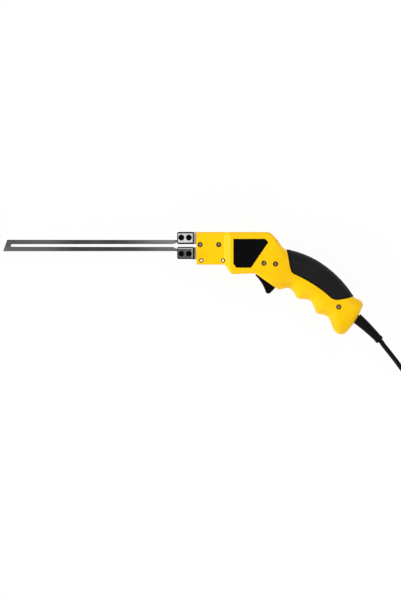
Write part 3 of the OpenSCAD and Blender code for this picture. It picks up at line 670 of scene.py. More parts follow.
@dataclass(frozen=True)
class ScrewMetal(WornMetal):
    """Zinc-plated screw head with painted shade in its recess and down its sides."""

    grain_layers: float = 3.0
    dull: float = 0.8
    # Painted shade for the recess and the sides of the head.
    soot: Colour = tint(58, 36, 16)
    recess_mm: float = 1.0
    recess_at: Span = (0.15, 0.5)

    def paint(self, shader: Shader) -> None:
        """Adds the plating and the painted shade in the recess and down the sides.

        Args:
            shader: The shader to set.
        """
        film, drawn = self.patch(shader), self.grain(shader)
        # Painted shade wherever the head is not open and level.
        open_face = shader.level(2) * (1 - shader.hollows(self.recess_mm).step(*self.recess_at))
        face = shader.blend(film, opaque(self.colour, self.dull), opaque(self.bright))
        face = shader.blend(open_face, opaque(self.soot), face)
        self.cover(shader, face, drawn.swing(self.grain_rough), drawn)


@dataclass(frozen=True)
class FacedGasket(Finish):
    """Black fibre sheet with a pale facing glued to its rear."""

    grain_layers: float = 4.0
    grain_rough: float = 0.2
    patch_share: float = 0.4
    facing: Colour = tint(196, 190, 196)
    facing_x_mm: float = 12.6
    facing_edge_mm: float = 0.1

    def paint(self, shader: Shader) -> None:
        """Adds the fibre and the facing.

        Args:
            shader: The shader to set.
        """
        fibre = self.grain(shader)
        rear = shader.along(0).past(self.facing_x_mm, self.facing_edge_mm)
        sheet = shader.blend(rear, self.shades(shader, fibre), opaque(self.facing))
        self.cover(shader, sheet, fibre.swing(self.grain_rough), fibre)


@dataclass(frozen=True)
class MilledBlock(WornMetal):
    """Metal block with ground faces, with painted shade on its chamfers and its other sides."""

    metallic: float = 0.5
    specular: float = 0.3
    patch_mm: float = 5.0
    drawn: Axis = Axis.Y
    film_weight: float = 1.2
    # Painted shade on the chamfers and the other sides.
    painted_side_shade: Colour = tint(14, 14, 16)
    strip: Colour = tint(150, 150, 152)
    strip_x_mm: float = 9.6
    strip_edge_mm: float = 0.6
    strip_share: float = 0.7
    lip_y_mm: float = 100.0
    lip_edge_mm: float = 0.3
    lip_light: float = 1.7
    screws: tuple[str, ...] = ()
    # Painted shade round the screw heads.
    painted_recess_shade_mm: float = 0.5
    painted_recess_shade_edge_mm: float = 0.2
    head_edge_mm: float = 0.5

    def soot(self, shader: Shader, screw: str) -> Value:
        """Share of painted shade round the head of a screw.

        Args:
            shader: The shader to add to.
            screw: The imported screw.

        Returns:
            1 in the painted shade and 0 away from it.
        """
        low, high = (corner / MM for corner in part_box(screw))
        dx, dy = (shader.along(axis) - (low[axis] + high[axis]) / 2 for axis in (0, 1))
        reach = (high.x - low.x) / 2 + self.painted_recess_shade_mm
        inner, outer = ((reach + side * self.painted_recess_shade_edge_mm) ** 2 for side in (-1, 1))
        near = 1 - (dx * dx + dy * dy).step(inner, outer)
        return near * shader.along(2).past(low.z, self.head_edge_mm)

    def wear(self, shader: Shader, body: Socket) -> Socket:
        """Adds the paler strip beside the gasket, the lip, the painted shade round the screw heads and the
        painted shade on the sides.

        Args:
            shader: The shader to add to.
            body: Colour of the ground faces.

        Returns:
            The colour of the whole block.
        """
        beside = shader.along(0).past(self.strip_x_mm, self.strip_edge_mm) * self.strip_share
        body = shader.blend(beside, body, opaque(self.strip))
        lip = shader.along(1).past(self.lip_y_mm, self.lip_edge_mm)
        body = shader.blend(lip, body, opaque(self.strip, self.lip_light))
        # Painted shade round each screw head.
        for screw in self.screws:
            body = shader.blend(self.soot(shader, screw), body, opaque(self.painted_side_shade))
        # Painted shade on every face that is not level.
        return shader.blend(shader.level(2), opaque(self.painted_side_shade), body)


@dataclass(frozen=True)
class Layered(Finish):
    """Stacked sheets or laid wire: fine lines across one axis."""

    across: int = 2
    pitch_mm: float = 0.5
    line_weight: float = 0.6
    light: Span = (0.6, 1.15)
    patch_rough: float = 0.2
    groove_share: float = 0.25

    def paint(self, shader: Shader) -> None:
        """Adds the lines, their shade and their grooves.

        Args:
            shader: The shader to set.
        """
        phase = shader.along(self.across) * (math.tau / self.pitch_mm)
        line = phase.math("SINE", phase) * 0.5 + 0.5
        patch = self.patch(shader)
        share = line * self.line_weight + patch * (1 - self.line_weight)
        shader.put("Base Color", shader.blend(share, *(opaque(self.colour, light) for light in self.light)))
        shader.put("Roughness", self.roughness + patch.swing(self.patch_rough))
        shader.bump(line, self.pitch_mm * self.groove_share)


class Look(Enum):
    """Every finish of the tool."""

    YELLOW = MouldedYellow("moulded_yellow", tint(252, 202, 3), 0.42, specular=0.12, grain_mm=0.35,
                           relief_mm=0.012)
    RUBBER = GripRubber("grip_rubber", tint(28, 28, 29), 0.6, specular=0.06, grain_mm=0.45,
                        relief_mm=0.05, patch_share=0.16)
    PLATE = Finish("plate_black", tint(5, 5, 7), 0.5, specular=0.05, grain_mm=0.3, relief_mm=0.01,
                   patch_share=0.25)
    TRIGGER = Finish("trigger_black", tint(8, 8, 9), 0.48, specular=0.05, grain_mm=0.4, patch_share=0.2)
    BOOT = Finish("boot_black", tint(9, 9, 10), 0.42, specular=0.08, grain_mm=0.6, relief_mm=0.03,
                  patch_share=0.2)
    CORD = Finish("cord_sheath", tint(9, 9, 10), 0.38, specular=0.08, grain_mm=0.8, relief_mm=0.03,
                  patch_share=0.2)
    PLUG = Finish("plug_black", tint(14, 14, 15), 0.5, specular=0.3, grain_mm=0.4, relief_mm=0.03,
                  patch_share=0.15)
    TIE = Finish("tie_strap", tint(30, 30, 32), 0.6, relief_mm=0.05)
    BLADE = SteelWithPaintedReflections("blade_steel", tint(64, 64, 66), 0.42, 0.85, grain_mm=0.35, relief_mm=0.008,
                        drawn=Axis.X)
    BLOCK = MilledBlock("clamp_plated", tint(232, 232, 234), 0.36, strip=tint(235, 235, 236),
                        screws=("upper_front_screw", "upper_rear_screw"))
    # The lower clamp block is darker than the upper one.
    DARK_BLOCK = MilledBlock("clamp_darker", tint(94, 94, 96), 0.38, patch_share=0.3, lip_y_mm=39.4,
                             painted_recess_shade_mm=0.1, strip=tint(172, 172, 174),
                             screws=("lower_front_screw", "lower_rear_screw"))
    ALLOY = WornMetal("backing_alloy", tint(196, 192, 198), 0.4, 0.9, drawn=Axis.Y)
    GASKET = Finish("gasket_fibre", tint(6, 6, 7), 0.7, specular=0.08, grain_mm=0.6, relief_mm=0.05)
    FACED_GASKET = FacedGasket("gasket_faced", tint(3, 3, 4), 0.7, specular=0.03, grain_mm=0.6,
                               relief_mm=0.03)
    BLACK_STEEL = WornMetal("black_oxide", tint(4, 4, 5), 0.4, specular=0.06, grain_mm=0.25,
                            relief_mm=0.01, patch_mm=3.0, bright=tint(44, 44, 46))
    SCREW = ScrewMetal("screw_zinc", tint(204, 172, 148), 0.36, 0.5, specular=0.3, grain_mm=0.25,
                       relief_mm=0.01, patch_mm=3.0, bright=tint(255, 236, 222))
    PLATED = WornMetal("plated_steel", tint(200, 200, 200), 0.3, 1.0)
    COPPER = WornMetal("copper_bar", tint(196, 118, 78), 0.35, 1.0, relief_mm=0.01, drawn=Axis.X,
                       bright=tint(236, 170, 130))
    CORE = Layered("core_sheets", tint(74, 74, 78), 0.5, 0.8)
    WINDING = Layered("winding_enamel", tint(150, 70, 30), 0.35, 0.3, across=0, pitch_mm=0.6)
    BOARD = Finish("insulation_board", tint(112, 62, 34), 0.65, grain_mm=1.2, relief_mm=0.06, drawn=Axis.X)
    WHITE = Finish("white_plastic", tint(222, 218, 206), 0.5)
    GREY = Finish("switch_plastic", tint(60, 60, 64), 0.5)
    RED = Finish("plunger_red", tint(170, 30, 24), grain_mm=0.4)
    BROWN = Finish("lead_brown", tint(104, 58, 34), grain_mm=0.6)
    BLUE = Finish("lead_blue", tint(40, 72, 160), grain_mm=0.6)

    @cached_property
    def material(self) -> Material:
        """The node material of the finish, made at its first use."""
        return self.value.material()


def link(name: str, data: Any) -> Piece:
    """Makes an object of some data and links it to the scene.

    Args:
        name: Name of the object.
        data: Its mesh, curve, lamp or camera.

    Returns:
        The new object.
    """
    piece = bpy.data.objects.new(name, data)
    bpy.context.scene.collection.objects.link(piece)
    return piece


def add_mesh(name: str, points: Any, faces: Iterable[Sequence[int]], look: Look) -> Piece:
    """Makes a smooth-shaded mesh object.

    Args:
        name: Name of the piece.
        points: Corners in millimetres of the tool.
        faces: Corner numbers of each face.
        look: Finish of the piece.

    Returns:
        The new object.
    """
    mesh = bpy.data.meshes.new(name)
    mesh.from_pydata(PLACE.row(points).tolist(), [], [list(map(int, f)) for f in faces])
    mesh.update()
    mesh.shade_smooth()
    mesh.materials.append(look.material)
    return link(name, mesh)


def settle(piece: Piece, body: Body, slot: Slot, *nodes: str) -> Piece:
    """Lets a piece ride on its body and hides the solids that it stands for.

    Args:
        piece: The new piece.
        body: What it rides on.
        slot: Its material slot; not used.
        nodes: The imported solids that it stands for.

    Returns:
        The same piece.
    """
    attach(piece, body.value)
    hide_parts(*nodes)
    LOG.info("%s rides on %s and stands for %s", piece.name, body.value, ", ".join(nodes))
    return piece


def soften(piece: Piece, width_mm: float, segments: int = 2, angle: float = 30.0) -> None:
    """Adds a bevel along the sharp edges of a piece.

    Args:
        piece: The piece.
        width_mm: Width of the bevel.
        segments: Faces across the bevel.
        angle: Least turn of an edge that gets one, in degrees.
    """
    bevel = piece.modifiers.new("edge_rounding", "BEVEL")
    bevel.width = width_mm * MM
    bevel.segments = segments
    bevel.limit_method = "ANGLE"
    bevel.angle_limit = math.radians(angle)
    bevel.harden_normals = True


def dress(look: Look, edge_mm: float, *nodes: str) -> None:
    """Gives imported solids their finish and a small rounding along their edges.

    Args:
        look: Finish for all of them.
        edge_mm: Width of the rounding, or 0 for none.
        nodes: Names of the solids.
    """
    for node in nodes:
        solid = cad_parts[node]
        solid.data.materials.clear()
        solid.data.materials.append(look.material)
        if edge_mm > 0:
            soften(solid, edge_mm)
        LOG.info("%s is dressed in %s", node, look.material.name)


def loft_sides(rings: int, sides: int) -> list[tuple[int, ...]]:
    """Four-cornered faces between rings of equal count.

    Args:
        rings: Number of rings.
        sides: Corners in each ring.

    Returns:
        The corner numbers of each face.
    """
    faces = []
    for i in range(rings - 1):
        for j in range(sides):
            k = (j + 1) % sides
            faces.append((i * sides + j, i * sides + k, (i + 1) * sides + k, (i + 1) * sides + j))
    return faces


def tube(name: str, points: Sequence[Array], radii: Sequence[float], sides: int, look: Look) -> Piece:
    """Makes a round tube along a line of points, capped at both ends.

    Args:
        name: Name of the piece.
        points: Centre of each ring.
        radii: Radius of each ring.
        sides: Corners in each ring.
        look: Finish of the piece.

    Returns:
        The new object.
    """
    line = np.asarray(points, float)
    ways = np.gradient(line, axis=0)
    ways /= np.linalg.norm(ways, axis=1)[:, None]
    side = np.zeros_like(ways)
    current = unit(np.cross((0.0, 0.0, 1.0), ways[0]))
    for i, way in enumerate(ways):
        current = unit(current - way * (current @ way))
        side[i] = current
    other = np.cross(ways, side)
    turn = np.linspace(0, math.tau, sides, endpoint=False)
    round_off = side[:, None] * np.cos(turn)[None, :, None] + other[:, None] * np.sin(turn)[None, :, None]
    rings = line[:, None] + round_off * np.asarray(radii, float)[:, None, None]
    last = (len(rings) - 1) * sides
    caps = [tuple(reversed(range(sides))), tuple(range(last, last + sides))]
    return add_mesh(name, rings.reshape(-1, 3), loft_sides(len(rings), sides) + caps, look)


@dataclass
class Lattice:
    """Regular grid over one piece, on which its shape is worked out as signed distances in millimetres."""

    low: Triple
    high: Triple
    step: float = 0.45
    band: float = 10.0
    slope_reach: float = 0.8

    def __post_init__(self) -> None:
        """Works out the grid's first index, its shape and its axes."""
        self.first = np.floor(np.asarray(self.low) / self.step).astype(int)
        last = np.ceil(np.asarray(self.high) / self.step).astype(int)
        self.shape = tuple(int(n) for n in last - self.first + 1)
        self.corner = tuple(int(f) for f in self.first)
        axes = [((np.arange(n) + f) * self.step).astype(np.float32) for n, f in zip(self.shape, self.first)]
        self.x, self.y, self.z = axes[0][:, None, None], axes[1][None, :, None], axes[2][None, None, :]

    def loft(self, rings: Array) -> Array:
        """Distances to a closed loft.

        Args:
            rings: Rings of equal count, with their corners and coordinates.

        Returns:
            Distances on the grid.
        """
        count, sides = rings.shape[:2]
        last = (count - 1) * sides
        triangles = [t for a, b, c, d in loft_sides(count, sides) for t in ((a, b, c), (a, c, d))]
        triangles += [(last, last + k, last + k + 1) for k in range(1, sides - 1)]
        triangles += [(0, k + 1, k) for k in range(1, sides - 1)]
        grid = openvdb.FloatGrid.createLevelSetFromPolygons(
            rings.reshape(-1, 3).astype(np.float32),
            triangles=np.asarray(triangles, np.uint32),
            transform=openvdb.createLinearTransform(voxelSize=self.step),
            halfWidth=self.band,
        )
        values = np.empty(self.shape, np.float32)
        grid.copyToArray(values, ijk=self.corner)
        return values

    def outline(self, points: Sequence[Sequence[float]]) -> Array:
        """Distances to an upright prism over a closed outline.

        Args:
            points: Corners of the outline in the plane of the blade.

        Returns:
            Distances on the grid.
        """
        corners = np.asarray(points, float)
        x, y = np.broadcast_arrays(self.x[:, :, 0], self.y[:, :, 0])
        nearest = np.full(x.shape, np.inf)
        inside = np.zeros(x.shape, bool)
        for a, b in zip(corners, np.roll(corners, -1, axis=0)):
            edge = b - a
            dx, dy = x - a[0], y - a[1]
            t = np.clip((dx * edge[0] + dy * edge[1]) / (edge @ edge), 0, 1)
            nearest = np.minimum(nearest, (dx - edge[0] * t) ** 2 + (dy - edge[1] * t) ** 2)
            if a[1] != b[1]:
                inside ^= ((a[1] > y) != (b[1] > y)) & (dx < edge[0] * dy / edge[1])
        return (np.sqrt(nearest) * np.where(inside, -1, 1)).astype(np.float32)[:, :, None]

    def round_hole(self, centre: Sequence[float], radius: float) -> Array:
        """Distances to an endless upright cylinder."""
        return np.hypot(self.x - centre[0], self.y - centre[1]) - radius

    def block(self, low: Sequence[float], high: Sequence[float]) -> Array:
        """Distances to an upright block between two corners."""
        spans = zip((self.x, self.y, self.z), low, high)
        return np.maximum.reduce(np.broadcast_arrays(*(band(v, (a, b)) for v, a, b in spans)))

    def rounded(self, x: Span, y: Span, front_r: float, rear_r: float) -> Array:
        """Distances to an endless upright bar with rounded corners.

        Args:
            x: Where the bar begins and ends.
            y: Its middle and its half width.
            front_r: Radius of its front corners.
            rear_r: Radius of its rear corners.

        Returns:
            Distances on the grid.
        """
        middle = (x[0] + x[1]) / 2
        r = np.where(self.x < middle, front_r, rear_r)
        across = np.abs(self.x - middle) - (x[1] - x[0]) / 2 + r
        up = np.abs(self.y - y[0]) - y[1] + r
        return np.minimum(np.maximum(across, up), 0) + np.hypot(np.maximum(across, 0), np.maximum(up, 0)) - r

    def sample(self, values: Array, points: Array) -> Array:
        """Distances at any points, blended from the eight neighbours of each.

        Args:
            values: Distances on the grid.
            points: The points, in millimetres.

        Returns:
            One distance for each point.
        """
        spot = points / self.step - self.first
        cell = np.clip(np.floor(spot).astype(int), 0, np.asarray(self.shape) - 2)
        share = spot - cell
        total = np.zeros(len(points))
        for corner in np.ndindex(2, 2, 2):
            weight = np.prod(np.where(corner, share, 1 - share), axis=1)
            i, j, k = (cell + corner).T
            total += weight * values[i, j, k]
        return total

    def surface(self, values: Array, ease: float) -> tuple[Array, list[list[int]]]:
        """Surface on which the distances are zero.

        Args:
            values: Distances on the grid.
            ease: How far flat stretches may be gathered into larger faces.

        Returns:
            The corners of the surface, and the corner numbers of each face.
        """
        grid = openvdb.FloatGrid(self.band * self.step)
        grid.copyFromArray(np.ascontiguousarray(values, np.float32), ijk=self.corner)
        grid.transform = openvdb.createLinearTransform(voxelSize=self.step)
        points, triangles, quads = grid.convertToPolygons(0.0, ease)
        return points, [*triangles.tolist(), *quads.tolist()]

    def piece(self, name: str, values: Array, look: Look, mirror: int = 1, ease: float = 0.02) -> Piece:
        """Makes the mesh on which the distances are zero.

        Args:
            name: Name of the piece.
            values: Signed distances on the grid.
            look: Finish of the piece.
            mirror: 1, or -1 to turn the piece over to the other side of the parting plane.
            ease: How far flat stretches may be gathered into larger faces.

        Returns:
            The new object.
        """
        points, faces = self.surface(values, ease)
        normals = np.empty((len(points), 3))
        for axis, shift in enumerate(np.eye(3) * self.step * self.slope_reach):
            normals[:, axis] = self.sample(values, points + shift) - self.sample(values, points - shift)
        normals /= np.maximum(np.linalg.norm(normals, axis=1), 1e-9)[:, None]
        turned = np.asarray([1, 1, mirror], float)
        piece = add_mesh(name, points * turned, [f[::mirror] for f in faces], look)
        piece.data.normals_split_custom_set_from_vertices((normals * turned).tolist())
        LOG.info("%s has %d faces", name, len(faces))
        return piece


class Section(NamedTuple):
    """A section across the casing: its two ends, half thickness, corner depth and height, share of grip."""

    front: Any
    back: Any
    half: float
    depth: float
    height: float
    grip: float


@dataclass
class Casing:
    """Two moulded shells of nose, body and curved handle, with the rubber pad let into the back.

    The handle is drawn about the centre of its curve, in degrees and millimetres. A ramp is the place
    where a change begins and the run that it takes.
    """

    nose_half: float = 15.0
    body_half: float = 22.0
    grip_half: float = 19.0
    butt_half: float = 20.0
    butt_end_half: float = 14.0
    wall: float = 2.5
    edge_gain: float = 0.3

    case_top: float = 15.4
    nose_drop: float = 21.5
    body_drop: float = 32.5
    drop: Ramp = (31.2, 10.5)
    nose_len: float = 31.7
    ramp_len: float = 6.8
    ramp_ease: float = 0.35
    nose_corner: float = 3.0
    body_corner: float = 5.0

    grip_centre: Point = (81.3, -118.6)
    back_r: float = 116.0
    head_angle: float = 90.2
    shoulder: Ramp = (79.0, 11.2)
    tail: Ramp = (31.4, -7.0)
    tail_rise: float = 5.6
    body_ramp: Ramp = (70.0, 18.0)
    butt_ramp: Ramp = (24.0, 20.0)
    grip_ramp: Ramp = (88.0, -12.0)
    grip_corner: float = 15.0
    side_land: float = 1.0
    tail_corner: float = 12.0
    tail_side: float = 15.0
    skew_from: float = 40.0
    skew_to: Point = (19.5, 30.0)
    skew_run: float = -14.0

    finger_r: float = 71.5
    finger_wave: float = 2.9
    finger_first: float = 79.8
    finger_pitch: float = 21.3
    finger_count: float = 2.5
    finger_step: float = 5.0
    worn_waves: tuple = ((39.8, 2.1, 3.4), (59.8, -0.6, 3.6), (76.6, 1.0, 3.4), (67.0, -0.5, 2.0))
    edge_x: float = 68.2
    edge_rise: float = 0.4
    edge_slope: float = 35.2

    toe: tuple = ((156.5, -93.5), (161.0, -104.0), (170.5, -101.0))
    heel: tuple = ((187.0, -62.3), (193.0, -66.0), (190.3, -71.0))
    butt_corner: float = 9.0
    butt_side: float = 12.0
    butt_shares: tuple = (0.97, 0.9, 0.78, 0.6, 0.35, 0.08)
    butt_bulge: float = 2.2

    nose_x: tuple = (0.0, 2.5, 15.0, 26.0, 29.0)
    ramp_x: tuple = (29.7, 42.0, 0.5)
    ramp_end: float = 41.7
    join_shares: tuple = (0.3, 0.6, 0.85)
    grip_start: float = 99.0
    grip_pace: float = -0.5
    skew_count: int = 40
    butt_count: int = 24
    hollow_stop: int = -18
    ring_sides: int = 48
    least_land: float = 0.5
    least_corner: float = 1.0

    pad_t: float = 2.5
    pad_front: tuple = ((150, 84.0), (121, 80.1), (116, 79.0), (111, 77.7), (105, 76.4), (99, 74.9),
                        (95.6, 73.75))
    pad_knee: tuple = ((91.5, 72.5), (91.3, 69.6))
    pad_run: Span = (69.0, 41.5)
    pad_low_r: float = 90.8
    pad_mid: float = 62.0
    pad_bow: Span = (0.009, 0.0055)
    pad_heel: tuple = ((93.7, 36.2), (99.5, 34.55))
    pad_rear: tuple = ((103, 33.6), (109, 32.3), (115, 31.35), (121, 30.7), (150, 28.0))
    pad_counts: tuple = (9, 40, 12)
    pad_shrink: float = -0.12
    pad_edge: Span = (0.2, -0.7)
    pad_edge_ramp: Ramp = (6.0, 5.0)
    pad_crown: float = 0.55
    pad_crown_ramp: Ramp = (132.0, 32.0)
    pad_border: Ramp = (1.2, 1.2)
    pad_round: float = 0.6

    screw_spots: tuple = ((4.3, 1.1), (25.7, 1.1), (77.5, -20.2), (90.8, -21.1), (163.4, -70.4))
    neck_angle: float = 84.4
    screw_post_r: float = 4.0
    pilot_r: float = 1.6
    well_r: float = 2.95
    well_deep: float = 2.6
    guides: tuple = ((5.6, -17.0), (30.6, -17.0))
    guide_post_r: float = 3.4
    guide_r: float = 1.4
    guide_round: float = 0.35
    sink_r: float = 2.5
    sink_deep: float = 2.6
    pin_post_r: float = 3.6
    pin_post_from: float = 6.5
    pin_deep: float = 15.0
    core_post_r: float = 2.4
    core_posts: tuple = ((60.0, 69.3), (43.5, 69.3))
    core_inset: float = 3.0
    rest_x: Span = (-7.0, -1.0)
    rest_y: Span = (1.0, 6.0)
    rest_gap: float = 0.1

    parting_gap: float = 0.03
    seam: float = 0.45
    pad_clear: float = 0.15
    pad_bed: float = 0.1
    pad_lip: float = 0.7
    plate_clear: float = 0.12
    plate_deep: float = 1.6
    slot_half: float = 6.3
    slot_round: float = 0.6
    edge_round: float = 0.5
    groove: tuple = ((92.3, 6.3), (96.6, 1.2))
    groove_r: float = 1.1
    groove_z: float = 17.3
    groove_half: float = 4.0
    groove_deep: float = 2.2
    window_y: float = 9.4
    window_half: Point = (3.5, 1.45)
    window_deep: float = 5.0

    @property
    def screws(self) -> Iterator[tuple[Point, float]]:
        """Centre of each casing screw, with half the thickness of the casing there."""
        neck = self.half_at(self.neck_angle)
        return zip(self.screw_spots, (self.nose_half, self.nose_half, self.body_half, neck, self.butt_half))

    def polar(self, radius: float, angle: float) -> Array:
        """Point at that radius and angle about the centre of the grip."""
        a = math.radians(angle)
        return np.asarray(self.grip_centre) + radius * np.asarray((math.cos(a), math.sin(a)))

    def back_at(self, angle: float) -> float:
        """Distance of the back from the centre of the grip.

        Args:
            angle: Angle about that centre.

        Returns:
            The distance.
        """
        head = self.case_top - self.grip_centre[1]
        if angle > self.head_angle:
            return head / math.sin(math.radians(angle))
        return mix(self.back_r, head, ramp(angle, *self.shoulder)) + self.tail_rise * ramp(angle, *self.tail)

    def wave_at(self, angle: float) -> float:
        """Distance of the finger waves from the centre of the grip.

        Args:
            angle: Angle about that centre.

        Returns:
            The distance.
        """
        last = self.finger_first - self.finger_count * self.finger_pitch
        turn = math.radians(360 * (max(angle, last) - self.finger_first) / self.finger_pitch)
        step = ramp(angle, self.skew_from, last - self.skew_from)
        wave = self.finger_r - self.finger_wave * math.cos(turn) + self.finger_step * step
        worn = [high * math.exp(-(((angle - at) / wide) ** 2)) for at, high, wide in self.worn_waves]
        return wave + sum(worn)

    def edge_at(self, angle: float) -> float:
        """Distance of the straight edge before the finger waves from the centre of the grip.

        Args:
            angle: Angle about that centre.

        Returns:
            The distance.
        """
        slope, a = math.radians(self.edge_slope), math.radians(angle)
        run, way = (math.cos(slope), -math.sin(slope)), (math.cos(a), math.sin(a))
        start = np.asarray((self.edge_x, self.edge_rise - self.body_drop)) - np.asarray(self.grip_centre)
        return (start[0] * run[1] - start[1] * run[0]) / (way[0] * run[1] - way[1] * run[0])

    def front_at(self, angle: float) -> float:
        """Distance of the finger side from the centre of the grip."""
        wave = self.wave_at(angle)
        return wave if angle <= self.finger_first else max(self.edge_at(angle), wave)

    def half_at(self, angle: float) -> float:
        """Half the thickness of the handle at an angle about the centre of the grip."""
        rear = mix(self.butt_half, self.grip_half, ramp(angle, *self.butt_ramp))
        return mix(rear, self.body_half, ramp(angle, *self.body_ramp))

    def upright(self, x: float) -> Section:
        """Section of the nose and the front of the body.

        Args:
            x: Distance from the front face.

        Returns:
            The section.
        """
        run = (x - self.nose_len) / self.ramp_len
        rise = mix(np.clip(run, 0, 1), smooth(run), self.ramp_ease)
        drop = mix(self.nose_drop, self.body_drop, ramp(x, *self.drop))
        corner = mix(self.nose_corner, self.body_corner, rise)
        half = mix(self.nose_half, self.body_half, rise)
        return Section((x, -drop), (x, self.case_top), half, corner, corner, 0.0)

    def swept(self, front: float, back: float) -> Section:
        """Section of the handle.

        Args:
            front: Angle of its finger side.
            back: Angle of its back.

        Returns:
            The section.
        """
        grip, skew = ramp(back, *self.grip_ramp), ramp(back, self.skew_from, self.skew_run)
        half = self.half_at(back)
        depth = mix(mix(self.body_corner, self.grip_corner, grip), self.tail_corner, skew)
        height = mix(mix(self.body_corner, half - self.side_land, grip), self.tail_side, skew)
        ends = self.polar(self.front_at(front), front), self.polar(self.back_at(back), back)
        return Section(*ends, half, depth, height, grip)

    def rounded(self, t: float) -> Section:
        """Section of the butt, from its start at 0 to its end at 1."""
        return Section(bezier(self.toe, t), bezier(self.heel, t),
                       mix(self.butt_half, self.butt_end_half, t * t),
                       mix(self.tail_corner, self.butt_corner, t),
                       mix(self.tail_side, self.butt_side, t), 1.0)

    def stations(self) -> list[Section]:
        """Sections from the front face to the end of the butt.

        Returns:
            The sections in order.
        """
        found = [self.upright(x) for x in (*self.nose_x, *np.arange(*self.ramp_x))]
        join = list(zip(self.upright(self.ramp_end), self.swept(self.grip_start, self.grip_start)))
        for t in self.join_shares:
            found.append(Section(*(mix(np.asarray(a), np.asarray(b), t) for a, b in join)))
        found += [self.swept(a, a) for a in np.arange(self.grip_start, self.skew_from, self.grip_pace)]
        for t in np.linspace(0, 1, self.skew_count):
            found.append(self.swept(*(mix(self.skew_from, end, t) for end in self.skew_to)))
        return found + [self.rounded(t) for t in np.linspace(0, 1, self.butt_count)[1:]]

    def ring(self, section: Section, in_front: float = 0, in_back: float = 0, in_side: float = 0) -> Array:
        """Corners of one section, drawn in by wall thicknesses.

        Args:
            section: The section.
            in_front: Distance by which the finger side is drawn in.
            in_back: Distance by which the back is drawn in.
            in_side: Distance by which the sides are drawn in.

        Returns:
            The corners in order round the section.
        """
        front, back = (np.asarray(p, float) for p in (section.front, section.back))
        way = unit(back - front)
        front, back = front + way * in_front, back - way * in_back
        long, wide = np.linalg.norm(back - front) / 2, section.half - in_side
        depth = max(min(section.depth, long - self.least_land) - in_side, self.least_corner)
        height = max(min(section.height, section.half - self.least_land) - in_side, self.least_corner)
        turn = np.linspace(0, math.tau, self.ring_sides, endpoint=False) + math.tau / (2 * self.ring_sides)
        along = np.sign(np.cos(turn)) * (long - depth) + depth * np.cos(turn)
        high = np.sign(np.sin(turn)) * (wide - height) + height * np.sin(turn)
        middle = (front + back) / 2
        return np.column_stack([middle[0] + way[0] * along, middle[1] + way[1] * along, high])

    def butt_rings(self) -> list[Array]:
        """Rings that close the butt with a slight bulge.

        Returns:
            The rings in order.
        """
        end = self.rounded(1.0)
        across = unit(end.back - end.front)
        out = np.asarray((across[1], -across[0]))
        middle = (end.front + end.back) / 2
        rings = []
        for share in self.butt_shares:
            shift = out * self.butt_bulge * (1 - share**2)
            front, back = (mix(middle, p, share) + shift for p in (end.front, end.back))
            section = Section(front, back, end.half * share, end.depth * share, end.height * share, 1.0)
            rings.append(self.ring(section, -self.edge_gain * share, -self.edge_gain * share))
        return rings

    def outside(self, grid: Lattice) -> Array:
        """Distances to the outside of the whole casing."""
        rings = [self.ring(s, -self.edge_gain, -self.edge_gain) for s in self.stations()] + self.butt_rings()
        return grid.loft(np.asarray(rings))

    @cached_property
    def grid(self) -> Lattice:
        """Grid over the upper half of the casing."""
        return Lattice((-2.0, -107.0, -2.0), (197.0, 18.5, 24.5))

    @cached_property
    def skin(self) -> Array:
        """Distances to the outside of the casing, over its upper half."""
        return self.outside(self.grid)

    @cached_property
    def space(self) -> Array:
        """Distances to the space inside the casing, over its upper half.

        Returns:
            Distances on the grid.
        """
        insets = [(s, self.wall + self.pad_t * s.grip) for s in self.stations()[1 : self.hollow_stop]]
        rings = [self.ring(s, self.wall + s.grip, inset, inset) for s, inset in insets]
        return self.grid.loft(np.asarray(rings))

    def pad_low(self, angle: float) -> float:
        """Distance of the pad's finger-side border from the centre of the grip."""
        turn = angle - self.pad_mid
        return self.pad_low_r + self.pad_bow[int(turn <= 0)] * turn**2

    def pad_outline(self, grow: float) -> list[Array]:
        """Outline of the rubber pad.

        Args:
            grow: Distance by which it is pushed out all round.

        Returns:
            The corners in order.
        """
        wide = math.degrees(grow / self.back_r)
        knee_count, run_count, heel_count = self.pad_counts
        front = [self.polar(r, a + wide) for r, a in self.pad_front]
        (bend_r, bend_a), (low_r, low_a) = self.pad_knee
        knee = (front[-1], self.polar(bend_r - grow, bend_a + wide), self.polar(low_r - grow, low_a))
        run = [self.polar(self.pad_low(a) - grow, a) for a in np.linspace(*self.pad_run, run_count)]
        (bend_r, bend_a), (top_r, top_a) = self.pad_heel
        heel = (run[-1], self.polar(bend_r - grow, bend_a - wide), self.polar(top_r, top_a - wide))
        rear = [self.polar(r, a - wide) for r, a in self.pad_rear]
        return [*front, *curve(knee, knee_count)[1:], *run[:-1], *curve(heel, heel_count), *rear]

